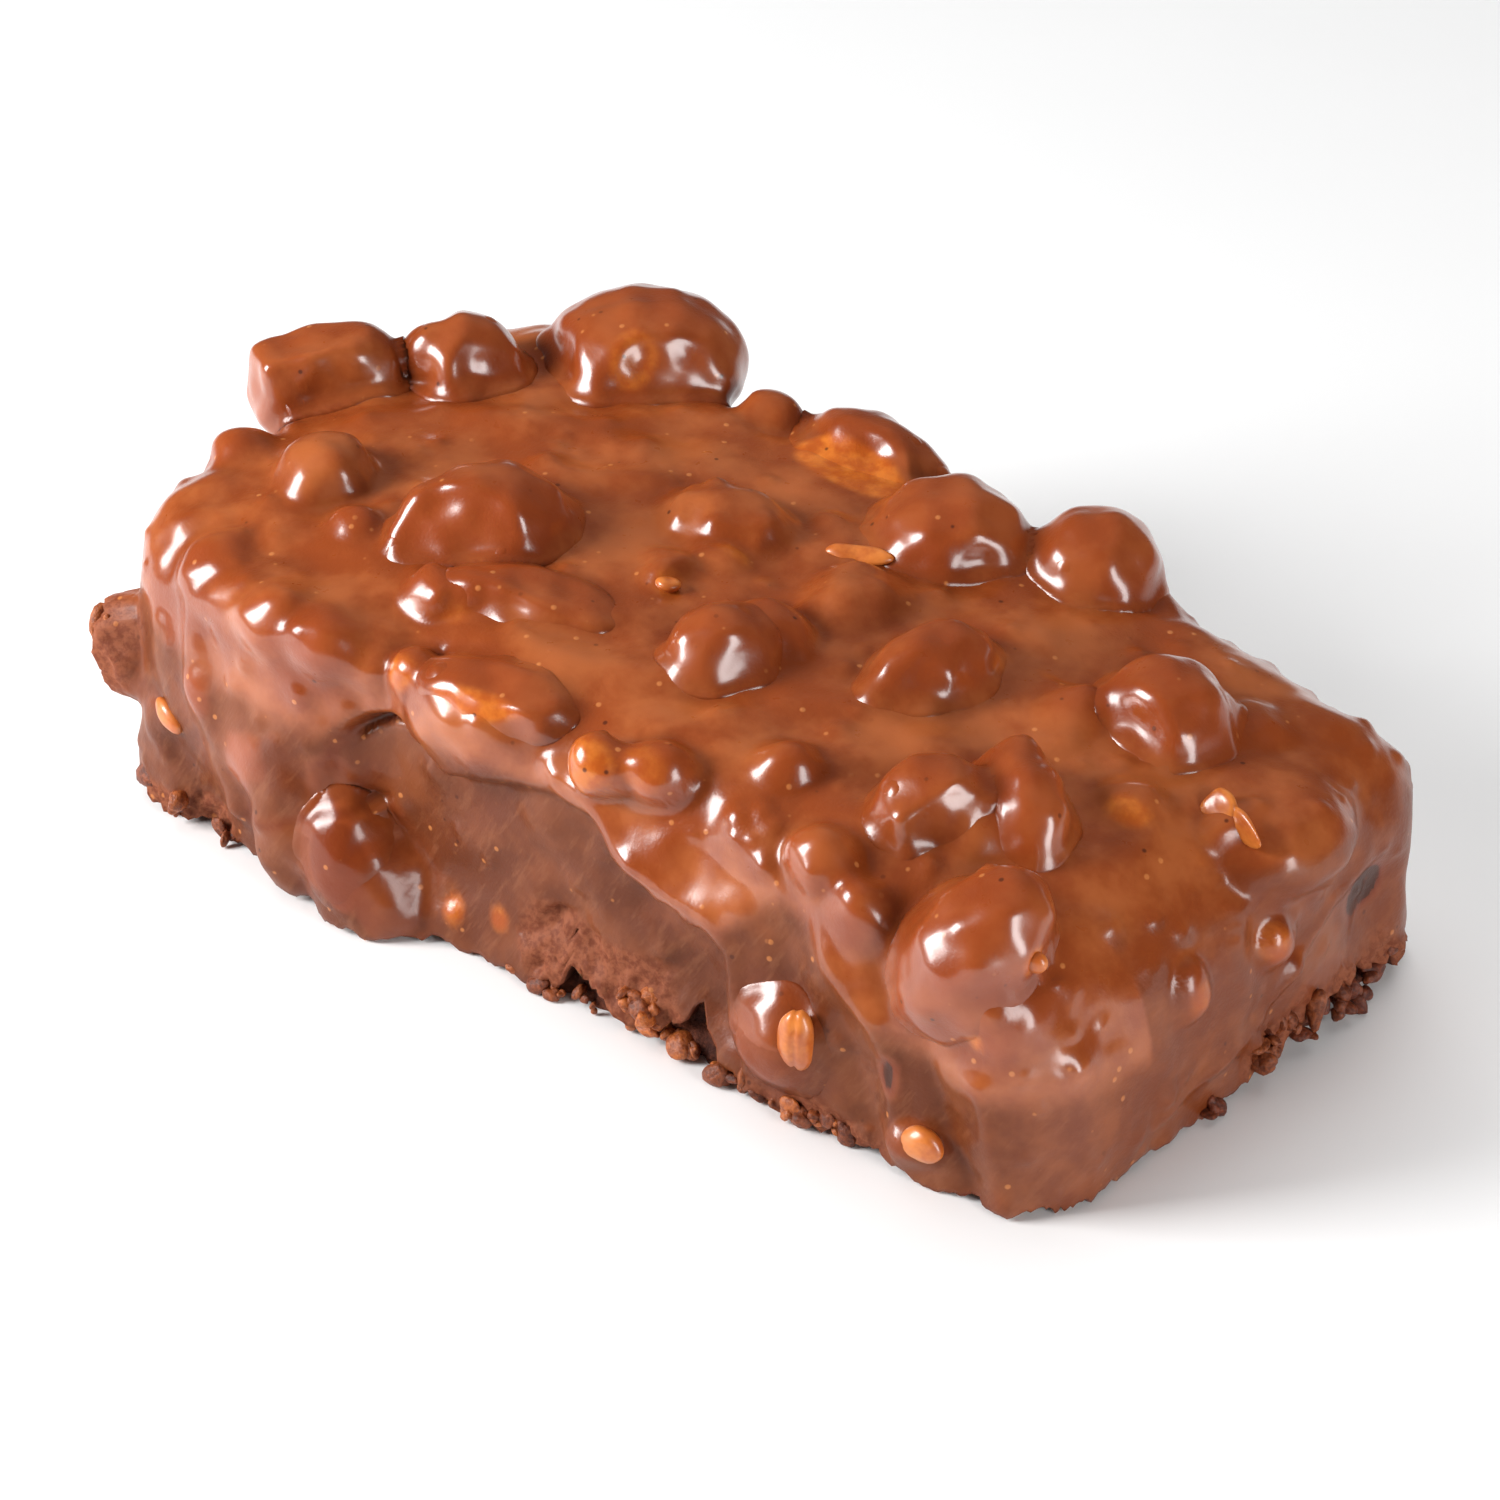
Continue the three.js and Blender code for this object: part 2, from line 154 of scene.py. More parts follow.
# %% A wire
class Wire:
    """One output of a node, which can be used in sums."""

    def __init__(self, finish, socket):
        self.finish = finish
        self.socket = socket

    def sum(self, operation, *values):
        return self.finish.node("ShaderNodeMath", {"operation": operation}, dict(enumerate(values)))

    def __add__(self, other):
        return self.sum("ADD", self, other)

    def __sub__(self, other):
        return self.sum("SUBTRACT", self, other)

    def __rsub__(self, other):
        return self.sum("SUBTRACT", other, self)

    def __mul__(self, other):
        return self.sum("MULTIPLY", self, other)

    __radd__ = __add__
    __rmul__ = __mul__

    def step(self, low, high):
        """0 below low and 1 above high, with a soft rise between."""
        settings = {"interpolation_type": "SMOOTHSTEP"}
        values = {"Value": self, "From Min": low, "From Max": high}
        return self.finish.node("ShaderNodeMapRange", settings, values)


print("sums for wires:", [name for name in vars(Wire) if name.startswith("__")])

# %% [markdown]
# A finish is one Principled shader and the nodes behind it. Its `node` method makes every node:
# settings first, because some of them change which sockets a node has, and then the sockets.

# %% A finish
class Finish:
    """A material that is built from its one Principled shader outwards."""

    def __init__(self, name, **uniform):
        self.material = bpy.data.materials.new(name)
        self.material.use_nodes = True
        self.tree = self.material.node_tree
        self.shader = self.tree.nodes["Principled BSDF"]
        for socket, value in uniform.items():
            self.shader.inputs[socket.replace("_", " ")].default_value = value

    def fill(self, node, values):
        for key, value in values.items():
            if isinstance(value, Wire):
                self.tree.links.new(value.socket, node.inputs[key])
            else:
                node.inputs[key].default_value = value

    def node(self, kind, settings=None, values=None, output=0):
        made = self.tree.nodes.new(kind)
        for key, value in (settings or {}).items():
            setattr(made, key, value)
        self.fill(made, values or {})
        return Wire(self, made.outputs[output])

    def place(self):
        """Object coordinates in millimetres."""
        raw = self.node("ShaderNodeTexCoord", output="Object")
        return self.node("ShaderNodeVectorMath", {"operation": "SCALE"}, {0: raw, "Scale": 1000})

    def attribute(self, name):
        return self.node("ShaderNodeAttribute", {"attribute_name": name}, output="Fac")

    def noise(self, place, per_mm, detail=3, roughness=0.5):
        values = {"Vector": place, "Scale": per_mm, "Detail": detail, "Roughness": roughness}
        return self.node("ShaderNodeTexNoise", values=values)

    def mix(self, share, a, b):
        """A colour that is a where share is 0 and b where it is 1."""
        factor, first, second = 0, 6, 7  # the sockets of a Mix node that is set to colours
        values = {factor: share, first: a, second: b}
        return self.node("ShaderNodeMix", {"data_type": "RGBA"}, values, output=2)

    def drawn_out(self, place, turn, lengths):
        """The same place, turned about Y and drawn out, so that a noise there makes streaks."""
        settings = {"vector_type": "TEXTURE"}
        values = {"Vector": place, "Rotation": (0, math.radians(turn), 0), "Scale": lengths}
        return self.node("ShaderNodeMapping", settings, values)

    def bump(self, height, depth_mm, under=None):
        values = {"Height": height, "Distance": depth_mm * MM}
        if under:
            values["Normal"] = under
        return self.node("ShaderNodeBump", {}, values)

    def shade(self, **sockets):
        self.fill(self.shader, {key.replace("_", " "): value for key, value in sockets.items()})
        return self.material


def rgb(red, green, blue):
    """A colour as it is read off a screen, 0 to 255, in the shader's own linear values."""
    def linear(v):
        v /= 255
        return v / 12.92 if v <= 0.04045 else ((v + 0.055) / 1.055) ** 2.4
    return (linear(red), linear(green), linear(blue), 1)


print("mid grey as the shader has it:", [round(v, 3) for v in rgb(128, 128, 128)])

# %% [markdown]
# The floor is a plain pale sheet, only just uneven in tone, so that the object's shadow reads.

# %% Floor finish
table = Finish("table", Specular_IOR_Level=0.2)
cloudy = table.noise(table.place(), 0.01)
floor.data.materials.append(table.shade(
    Base_Color=table.mix(cloudy, rgb(242, 242, 242), rgb(247, 247, 247)),
    Roughness=0.55 + 0.1 * cloudy,
))
print("finish made:", table.material.name)

# %% [markdown]
# ## Chocolate
# Poured milk chocolate has two layers to the eye: a body that scatters light a little, and a
# smooth skin of cocoa butter. The body's colour runs from orange-brown where the coat is glossy
# to pinkish brown on the sides, where it set dull, and there it is also painted darker as shade.
# Five marks painted on the mesh steer it: `satin` for the dull, shaded sides, `film` where only a
# thin film covers a nut, one for shade painted into creases, grooves and dark recesses, `bare` for
# orange kernel that shows through, and `crust` for rough porous patches near the table.

# %% Chocolate colours
MARKS = ("satin", "film", "painted_shade", "bare", "crust")
GLOSSY = rgb(138, 62, 23), rgb(164, 87, 43)  # two tones mean darker and paler clouds of it
# Dull chocolate for the sides; its tones are also darker, as painted shade on the upright faces.
DULL_SHADED = rgb(95, 45, 21), rgb(118, 62, 33)
CRUST = rgb(108, 55, 36), rgb(138, 80, 55)
KERNEL = rgb(176, 82, 22), rgb(206, 114, 38)
STREAK = rgb(136, 82, 53)  # pale streaks where the dull chocolate ran
FILM = rgb(144, 62, 24)
# Painted shade: creases, grooves and dark recesses are mixed towards the first colour, and the deepest of
# them towards the second, darker still.
CREASE_SHADE, DEEP_SHADE = rgb(92, 32, 10), rgb(56, 28, 16)
PALE_SPECK, DARK_SPECK = rgb(212, 134, 74), rgb(70, 30, 16)
RUN_ANGLE, RUN_LENGTHS = 28, (1, 3, 4.5)  # degrees about Y, and how far streaks are drawn out
GRAIN_DEPTH = 0.04  # mm
print("marks:", MARKS)

# %% [markdown]
# The same function makes two finishes, because the film over a nut is the same chocolate with a
# little more gloss. Small specks are cells of a Voronoi pattern: each cell has a random colour, so
# a few cells can be picked for pale grains and fewer still for dark ones.

# %% Chocolate finishes
def chocolate(name, gloss):
    made = Finish(
        name, Subsurface_Weight=0.08, Subsurface_Radius=(1.0, 0.35, 0.15), Subsurface_Scale=0.001,
        IOR=1.45, Specular_IOR_Level=0.2, Coat_Roughness=0.2, Coat_IOR=1.65,
    )
    place = made.place()
    satin, film, painted_shade, bare, crust = [made.attribute(mark) for mark in MARKS]
    cloud = made.noise(place, 0.12, 4, 0.6).step(0.38, 0.66)
    fibre = made.noise(place, 0.5, 3, 0.6)
    flow = made.noise(made.drawn_out(place, RUN_ANGLE, RUN_LENGTHS), 0.9, 3, 0.65)
    pores = made.noise(place, 1.1, 5, 0.7)
    # The sides take the dull tones, which hold painted shade as well as the set chocolate's own colour,
    # with pale streaks where it ran.
    dull = made.mix(flow.step(0.5, 0.7) * 0.4, made.mix(cloud, *DULL_SHADED), STREAK)
    body = made.mix(satin, made.mix(cloud, *GLOSSY), dull)
    body = made.mix(film * 0.55, body, FILM)
    # Painted shade: creases and dark recesses are darker, and the deepest of them darker still.
    body = made.mix(painted_shade * 0.8, body, CREASE_SHADE)
    body = made.mix(bare, body, made.mix(fibre.step(0.35, 0.7), *KERNEL))
    body = made.mix(crust * 0.9, body, made.mix(pores.step(0.38, 0.6), *CRUST))
    body = made.mix(painted_shade.step(0.88, 1) * 0.85, body, DEEP_SHADE)
    cells = {"Vector": place, "Scale": 0.55}
    specks = made.node("ShaderNodeTexVoronoi", {"feature": "F1"}, cells, "Distance")
    pick = made.node("ShaderNodeTexVoronoi", {"feature": "F1"}, cells, "Color")
    pick = made.node("ShaderNodeSeparateColor", {}, {"Color": pick}, "Red")
    pale = (1 - specks.step(0.1, 0.2)) * pick.step(0.8, 0.85)
    dark = (1 - specks.step(0.08, 0.18)) * (1 - pick.step(0.06, 0.1))
    body = made.mix(pale * 0.5, body, PALE_SPECK)
    body = made.mix(dark * 0.8, body, DARK_SPECK)
    fine = made.noise(place, 5, 2, 0.5)
    sparkle = made.noise(place, 2.6, 2, 0.5) * (1 - cloud)
    grain = made.noise(place, 1.4, 3, 0.6) * 0.5 + sparkle + fine * 0.25
    grain = grain + crust * pores * 1.8 + satin * flow * 2.4
    grain = grain + (1 - specks.step(0, 0.2)) * pick.step(0.7, 0.8) * 0.9
    return made.shade(
        Base_Color=body,
        Roughness=0.3 + 0.16 * satin + 0.3 * crust + 0.14 * (fibre - 0.5),
        Coat_Weight=gloss * (1 - 0.85 * satin) * (1 - crust) * (1 - 0.8 * painted_shade),
        Normal=made.bump(grain, GRAIN_DEPTH),
    )


coat_finish = chocolate("milk_chocolate", 0.75)
nut_finish = chocolate("nut_film", 0.9)
print("finishes:", coat_finish.name, nut_finish.name)

# %% [markdown]
# ## The bar as a distance
# A poured coat has no edges to model: everything melts into everything. So the coat is described
# by a distance, in mm: negative inside the chocolate, positive outside. Two shapes are joined by
# a smooth minimum, which leaves a fillet between them, as surface tension does. The sizes are
# those of the plain solids, so the dressed coat lies where the plain one lies.

# %% Sizes and the bare bar
HALF_LENGTH, HALF_WIDTH = 60.4, 30.2
LENGTH_CENTRE = -0.8
MID_HEIGHT, HEIGHT_SLOPE, LENGTH_CROWN = 33.6, 0.06, 0.0009
WIDTH_CROWN, CROWN_LINE = 0.0016, 8
END_SLANT = 0.08
CORNER = 7.6  # mm, radius of the upright corners
SHOULDER = 7.6  # mm, radius of the shoulders; the next three are what some places have more
NEAR_SOFTER, LEFT_SOFTER, LOW_SOFTER = 3, 2.6, 4.4
NEAR_FROM, LEFT_FROM, LOW_FROM = (6, 24), (8, 24), (34, 54)  # mm from the middle, where each rises
FAR_FIRMER, FAR_FROM = 0.7, (-4, 16)  # how much of the low end's softness the far side loses
SIDE_COAT, TOP_COAT = 2.6, 7
LONG_RIPPLE, SHORT_RIPPLE = 0.3, 0.22  # mm; the numbers in the sines are radians for each mm


def blend(a, b, soft):
    share = np.maximum(soft - np.abs(a - b), 0) / soft
    return np.minimum(a, b) - share * share * soft / 4


def carve(a, b, soft):
    return -blend(-a, -b, soft)


def soft_step(v, low, high):
    t = np.clip((v - low) / (high - low), 0, 1)
    return t * t * (3 - 2 * t)


def top_height(x, y):
    across = WIDTH_CROWN * (y - CROWN_LINE) ** 2
    return MID_HEIGHT - HEIGHT_SLOPE * x - LENGTH_CROWN * x * x - across


def ripple(p):
    x, y, z = p.T
    long_wave = np.sin(0.31 * x + 1.1 * np.sin(0.17 * y)) * np.sin(0.27 * y + 0.21 * z + 0.6)
    short_wave = np.sin(0.52 * x - 0.4 * z + 1.7) * np.cos(0.45 * y + 0.33 * z)
    return LONG_RIPPLE * long_wave + SHORT_RIPPLE * short_wave


def bare_bar(p):
    x, y, z = p.T
    along = x - LENGTH_CENTRE
    slanted = along - END_SLANT * y * np.clip(along / HALF_LENGTH, 0, 1)
    across = np.stack([
        np.abs(slanted) - (HALF_LENGTH - CORNER), np.abs(y) - (HALF_WIDTH - CORNER)], 1)
    side = np.linalg.norm(np.maximum(across, 0), axis=1) + np.minimum(across.max(1), 0) - CORNER
    near = soft_step(-y, *NEAR_FROM)
    left = near * soft_step(-x, *LEFT_FROM)
    low = soft_step(x, *LOW_FROM) * (1 - FAR_FIRMER * soft_step(y, *FAR_FROM))
    radius = SHOULDER + NEAR_SOFTER * near + LEFT_SOFTER * left + LOW_SOFTER * low
    out = np.stack([side + radius, z - top_height(x, y) + radius], 1)
    return np.linalg.norm(np.maximum(out, 0), axis=1) + np.minimum(out.max(1), 0) - radius


print("bar height at its ends:", top_height(-60, 0), top_height(60, 0))

# %% [markdown]
# ## Lumps, nuts and hollows
# A lump is a squashed ball: its place, its three half-sizes and its turn about the upright axis.
# A broken kernel has flat sides too, each a direction and a depth, and the ball is cut there.
# Evaluating a hundred lumps at every point would be slow, so each looks only at points near it.

# %% Distance to one lump
FLAT_EDGE = 0.7  # mm, how soft the edge of a flat side is
LUMP_WAVE, LUMP_WAVE_TURN = 0.24, 0.9  # mm, and radians for each mm: no kernel is quite round


def lump(x, y, z, rx, ry, rz, turn=0, soft=1.6, flats=(), lean=0):
    angle, tilt = math.radians(turn), math.radians(lean)
    spin = np.array([
        [math.cos(angle), -math.sin(angle), 0], [math.sin(angle), math.cos(angle), 0], [0, 0, 1]])
    tip = np.array([
        [math.cos(tilt), 0, math.sin(tilt)], [0, 1, 0], [-math.sin(tilt), 0, math.cos(tilt)]])
    return {
        "at": np.array([x, y, z], float), "half": np.array([rx, ry, rz], float),
        "turn": spin @ tip, "soft": soft, "flats": flats,
    }


def lump_distance(p, it, sunk=0.0):
    local = (p - it["at"]) @ it["turn"]
    half = it["half"] - sunk
    once = np.linalg.norm(local / half, axis=1)
    twice = np.linalg.norm(local / half ** 2, axis=1)
    d = once * (once - 1) / np.maximum(twice, 1e-6)
    for fx, fy, fz, depth in it["flats"]:
        side = np.array([fx, fy, fz]) / math.hypot(fx, fy, fz)
        plane = (local @ (side / it["half"]) - depth) / np.linalg.norm(side / it["half"]) + sunk
        d = carve(d, plane, FLAT_EDGE)
    wave = LUMP_WAVE_TURN * p + it["at"]
    return d + LUMP_WAVE * np.sin(wave[:, 0]) * np.sin(wave[:, 1] + 1) * np.sin(wave[:, 2] + 2)


def close_to(p, it, reach):
    span = it["half"].max() + it["soft"] + reach
    return np.flatnonzero((np.abs(p - it["at"]) < span).all(axis=1))


NUTS = {
    "hazelnut_01": lump(-59.2, 3.4, 34.4, 9.2, 5.2, 7, 46, flats=[
        (-0.26, 0, 1, 0.72), (-1, -0.15, 0.1, 0.82), (1, 0, 0.1, 0.84), (0, -1, 0.25, 0.8)]),
    "hazelnut_02": lump(-48.8, 13.6, 34.8, 6.4, 6, 6.2, 20, flats=[
        (-0.7, -0.9, 0.2, 0.82), (0.9, -0.7, 0.5, 0.8), (-0.9, 0.1, 0.9, 0.86)]),
    "hazelnut_03": lump(-35.7, 27.6, 34.2, 11, 10, 7.4, 35, flats=[
        (0.3, -1, 0.35, 0.8), (-1, -0.35, 0.2, 0.84)]),
    "hazelnut_04": lump(-7, 27.6, 31, 9.4, 6.8, 5.8, -6, flats=[
        (0.3, -0.9, 0.62, 0.56), (-0.8, -0.5, 0.6, 0.8), (1, 0.2, 0.3, 0.86)]),
    "hazelnut_05": lump(9.8, 20, 31.9, 8.2, 7.4, 6.8, 12, flats=[
        (-0.2, -0.3, 1, 0.92), (0.9, -1, 0.1, 0.86)]),
    "hazelnut_06": lump(23, 26.2, 31.4, 6.5, 6.3, 6.1),
    "hazelnut_07": lump(41.8, 10, 29.3, 6.8, 6.5, 6, -35, flats=[(0.5, -0.9, 0.25, 0.74)]),
    "hazelnut_08": lump(22, -0.2, 31.5, 4.5, 7.4, 5.3, -10, flats=[(0.6, -1, 0.5, 0.82)]),
    "hazelnut_09": lump(5.1, -11.3, 33.3, 4.9, 4.8, 4.7, flats=[(0.8, -0.4, 0.3, 0.84)]),
    "hazelnut_10": lump(-26.4, -9.2, 33.8, 7.4, 9.2, 7, -30, flats=[
        (0.75, -0.7, 0.5, 0.66), (-1, -0.3, 0.3, 0.84)]),
    "hazelnut_11": lump(-15.6, -15.6, 31.9, 9.2, 4.2, 4.4, 18, flats=[
        (0, -1, 0.25, 0.66), (0.5, 0, 1, 0.7)]),
    "hazelnut_12": lump(34.2, -16.6, 30.2, 5.4, 5.4, 5.4, flats=[
        (0.8, -0.55, 0.15, 0.62), (0, -0.6, 1, 0.88)]),
    "hazelnut_13": lump(39.8, -10.8, 30.2, 6.8, 4, 4.8, -35, flats=[(-0.1, -1, 0.4, 0.68)]),
    "hazelnut_14": lump(45.4, -25.6, 25, 5.6, 6.2, 9, 38, lean=36, flats=[(1, -0.4, 0.1, 0.86)]),
    "hazelnut_15": lump(-26.6, -30.6, 7.4, 4.3, 4.2, 6, 10, lean=-14),
    "hazelnut_16": lump(27, -28.8, 8.8, 5.2, 4.4, 5),
    "hazelnut_17": lump(-9.4, -26.8, 30.2, 7.6, 3.4, 3.2, 8, flats=[
        (0, -0.4, 1, 0.6), (0, -1, 0.1, 0.7)]),
    "hazelnut_18": lump(8, 30.4, 14, 5.6, 4.4, 5.8, -12),
    "hazelnut_19": lump(-36, 30.8, 9.5, 6, 4.4, 5.6, 15),
    "hazelnut_20": lump(-61.4, 9, 14, 3.8, 5.8, 5.2, flats=[(-1, 0.4, 0.2, 0.78)]),
}
print("nuts:", len(NUTS), "all in the frame:", all(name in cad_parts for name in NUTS))

# %% [markdown]
# Three more kinds of lump shape the coat itself. Swells are broad and soft, where the chocolate
# ran thick. Bits are small pieces of nut under it. Hollows are cut out where it is thin or torn.

# %% Swells, bits and hollows of the coat
SWELLS = [
    lump(-8.5, 7.2, 32.8, 7.2, 5.4, 4.6, 10, 1.8),
    lump(-46.2, -10.8, 33.4, 5.2, 5.2, 5, 0, 1.8),
    lump(9.4, 4.6, 31.2, 5.2, 5.6, 4.3, 0, 2),
    lump(57, 8, 23.5, 6, 8, 4.6, 0, 3),
    lump(-44, 26, 30.6, 9, 6, 4.4, 0, 3),
    lump(-36, -27, 28.6, 14, 4.6, 4, 0, 4),
    lump(-24.6, -30.4, 2.6, 6.2, 4.4, 7.2, 0, 3),
    lump(-56, -18, 27, 5.2, 6.6, 6, 0, 4),
    lump(-36, -29, 17, 9, 3.4, 9, 0, 5),
    lump(-33.4, -31.2, 8, 4.2, 4.2, 9, 0, 2),
    lump(-12.5, -27.4, 27, 8, 4.2, 4.6, 0, 2.4),
    lump(37.6, -14.4, 28.6, 4.6, 4.4, 3.6, -35, 2),
    lump(28, 28, 25.6, 4.4, 3, 4.4, 0, 3),
]

BITS = [
    # on the top
    lump(6.4, -5.6, 32.4, 4.6, 4, 3.8),
    lump(-19, 28, 32.6, 3.6, 3.2, 3.4),
    lump(0.4, 29.4, 31, 2.4, 2.2, 2.6, soft=1),
    lump(34.8, 4.4, 29.2, 3.2, 3.8, 3.2, 10),
    lump(48, 16, 27, 3.6, 3.2, 3),
    lump(19.6, -19.6, 30.2, 2.9, 2.6, 3.1, 20),
    lump(28.6, -25.8, 27.6, 3.6, 3, 3.2),
    lump(34, -27.2, 24.6, 3, 2.6, 3.4, 0, 2.4),
    lump(49.5, -26.5, 20.5, 4, 3.6, 3.6, 0, 4),
    lump(4.8, -29, 29.6, 3.1, 2.8, 3.1, soft=1.2),
    lump(9.8, -26.4, 29.8, 3.8, 3, 3, 20),
    lump(-57.4, -11, 32, 3.6, 3.4, 3.4),
    lump(-37.6, -15.6, 33.2, 2.8, 2.4, 2.3),
    lump(-7.2, -3.6, 33.2, 2.6, 3.4, 2.3, 10, 1.2, [(1, -0.3, 0.4, 0.7)]),
    lump(-19.4, -27.4, 29.4, 2.6, 2.4, 2.6, 0, 1.2),
    lump(-23.4, -19.6, 32.2, 3.4, 2.8, 3.2, 20, 1.2),
    lump(-20.4, -18.8, 33.2, 1.7, 1.6, 2, 0, 0.8),
    lump(-51.6, 10.8, 37.4, 2.2, 2, 2.6, 0, 1),
    lump(37.4, -7.2, 33.2, 1.3, 1.2, 1.5, 0, 0.8),
    lump(-5, 1.4, 33.2, 3, 1.8, 1.9, soft=1.2),
    lump(54.4, 3.4, 26.2, 2.2, 4.2, 2.4, -20, 1.2),
    lump(46.2, -2.4, 28.2, 3.2, 3, 2.2),
    # on the near shoulder and side
    lump(-35.8, -29.4, 30.2, 3.4, 3, 3, soft=2.2),
    lump(-29.6, -29.2, 30, 3.4, 2.8, 2.8, soft=2.2),
    lump(-47, -25.4, 30.2, 3.4, 3, 3, soft=2.2),
    lump(-36.8, -30.6, 14.4, 4.2, 3, 4, soft=2.6),
    lump(-45, -30.2, 19, 2.3, 2.2, 2.8, soft=1.4),
    lump(-53.6, -28.4, 10.8, 2.1, 2, 2.6, soft=1.2),
    lump(42.4, -29.8, 4.4, 2.9, 2.2, 2.4, soft=1.2),
    lump(-61.6, -25.4, 17.2, 3.4, 3.6, 3.8, soft=1.6),
    lump(-60.4, -26.2, 13.6, 3, 3.2, 3.6, soft=1.6),
    # on the low end
    lump(58.2, -10, 16.8, 2, 2.4, 3, soft=1.2),
    lump(59.6, 2.4, 16, 2, 2.6, 2.6, soft=1.2),
    # on the far side and the high end
    lump(-20, 28.8, 20, 3.6, 2.8, 3.4, soft=2),
    lump(28, 29.6, 7, 3.4, 2.8, 3.2, soft=2),
    lump(44, 29.2, 17, 3, 2.6, 3, soft=2),
    lump(-52, 29, 20, 3.4, 2.8, 3.6, soft=2),
    lump(-60.6, -6, 21, 2.4, 3, 3.2, soft=2),
]

HOLLOWS = [
    lump(-66, -42, 24, 13, 14.6, 22, 0, 8),
    lump(-45, -38, 1, 8, 7, 7, 0, 3),
    lump(66.4, 32.6, 32, 11.4, 11.4, 11.4, 0, 5),
    lump(66.4, -18, -2, 7.6, 13, 9, 0, 4),
    lump(64.4, 19, 11.6, 4.4, 5.4, 6.6, 0, 2.4),
    lump(39.6, -31.9, 11.1, 1.2, 1.7, 2.2, 0, 0.8),
    lump(62, -34, 4, 8, 8, 24, 0, 6),
    lump(-8, 34.5, 14, 13, 7.6, 9, 0, 3),
    lump(-66, 4, 8, 7.6, 10, 7, 0, 3),
]
print("swells, bits, hollows:", len(SWELLS), len(BITS), len(HOLLOWS))

# %% [markdown]
# ## Folds
# Where the coat ran down it left folds: long soft ridges, and edges where a thick upper layer
# ends over a thinner lower one. A ridge is a line drawn on one face of the bar, with a width and
# a height, and the distance falls by that height along it. The near side's upper layer has a hem
# of its own, a curve of height against length, and below it the side is set back.

# %% Ridges and the set-back side
FACES = {  # which two coordinates a line is drawn in, and where it counts
    "near": ((0, 2), lambda p: soft_step(-p[:, 1], 20, 25)),
    "far": ((0, 2), lambda p: soft_step(p[:, 1], 20, 25)),
    "top": ((0, 1), lambda p: soft_step(p[:, 2], 18, 24)),
    "low_end": ((1, 2), lambda p: soft_step(p[:, 0], 48, 53)),
    "high_end": ((1, 2), lambda p: soft_step(-p[:, 0], 50, 55)),
}

RIDGES = [  # face, points, width, height
    ("near", [(-48, 30), (-45.6, 21.2), (-42.4, 13.9), (-41.4, 6)], 2.4, 1.5),
    ("near", [(-57, 22), (-55, 15), (-51, 9), (-47, 5)], 2.4, -0.9),
    ("near", [(-41, 11.6), (-37.8, 10.2), (-33.4, 9.6), (-28, 12.3), (-23.7, 13.4)], 0.7, -0.5),
    ("near", [(-28.6, 16), (-27.4, 20), (-25.6, 22), (-23, 23.6), (-19.5, 24.4)], 0.7, -2.0),
    ("near", [(-18.6, 30), (-18.4, 26), (-16.4, 23), (-14, 20.6)], 0.8, -0.8),
    ("near", [(-29, 14), (-27.5, 12)], 2.4, -1.2),
    ("near", [(-30.6, 13), (-29.8, 7), (-29.4, 2)], 0.9, 1),
    ("near", [(-1.1, 27), (3.9, 26), (7.7, 22.2), (12.6, 20.2), (17.9, 19.4), (21.2, 16.4),
              (22, 11)], 1.1, 0.6),
    ("near", [(16.4, 24), (22.3, 22.8), (26.6, 20), (28.6, 15)], 2.8, -1.3),
    ("near", [(-4, 20), (2, 15), (6, 9)], 2.6, 0.6),
    ("near", [(9, 15), (14, 13), (18, 8)], 2.4, -0.6),
    ("near", [(29.4, 25.3), (32.4, 21), (35, 18.3), (38.2, 16.4), (39.9, 10.9), (41.3, 3)], 1.3, 0.8),
    ("near", [(34, 14), (36, 9), (37.4, 4)], 2.2, -0.8),
    ("near", [(36, 20), (40, 15.5), (47, 14), (54, 16)], 1.8, 0.5),
    ("near", [(43, 16), (45.6, 9), (48.6, 2)], 1.8, -0.9),
    ("near", [(50, 14), (51.5, 8), (52.5, 2)], 1.6, 0.7),
    ("low_end", [(-14, 4), (-6, 6.2), (0, 7.4), (7.1, 13.1), (11.5, 15.9), (19.8, 17.5)], 0.8, 0.45),
    ("low_end", [(-20, 24), (-15, 14), (-12, 6)], 2.6, 0.5),
    ("low_end", [(-4, 24), (-2, 14), (-3, 8)], 2.4, 0.35),
    ("top", [(-52, -2), (-44, 6), (-36, 8)], 2.2, 0.5),
    ("top", [(-40, 8), (-32, 12), (-24, 12)], 2.6, 0.7),
    ("top", [(-30, 3), (-24, 5), (-18, 9)], 1.6, 0.4),
    ("top", [(-14, -22), (-4, -20), (4, -16)], 2.2, 0.4),
    ("top", [(14, -12), (20, -8), (27, -9)], 2, 0.45),
    ("top", [(0, 14), (6, 10), (14, 8)], 1.8, 0.4),
    ("top", [(28, 12), (34, 16), (42, 20)], 2.2, 0.4),
    ("far", [(-50, 24), (-46, 15), (-47, 6)], 2.4, 0.9),
    ("far", [(-28, 24), (-24, 14), (-25, 6)], 2.2, -0.8),
    ("far", [(14, 24), (18, 15), (22, 11), (30, 13), (38, 20)], 1.6, 0.7),
    ("far", [(50, 20), (49, 11), (51, 4)], 2.4, 0.7),
    ("high_end", [(-18, 26), (-15, 16), (-16, 6)], 2.4, 0.8),
    ("high_end", [(18, 26), (21, 15), (20, 6)], 2.4, 0.8),
    ("high_end", [(2, 24), (0, 14), (3, 6)], 2, -0.6),
]


def line_distance(flat, points):
    nearest = np.full(len(flat), 1e9)
    for a, b in zip(points, points[1:]):
        a, b = np.array(a, float), np.array(b, float)
        t = np.clip((flat - a) @ (b - a) / ((b - a) @ (b - a)), 0, 1)
        nearest = np.minimum(nearest, np.linalg.norm(flat - a - t[:, None] * (b - a), axis=1))
    return nearest


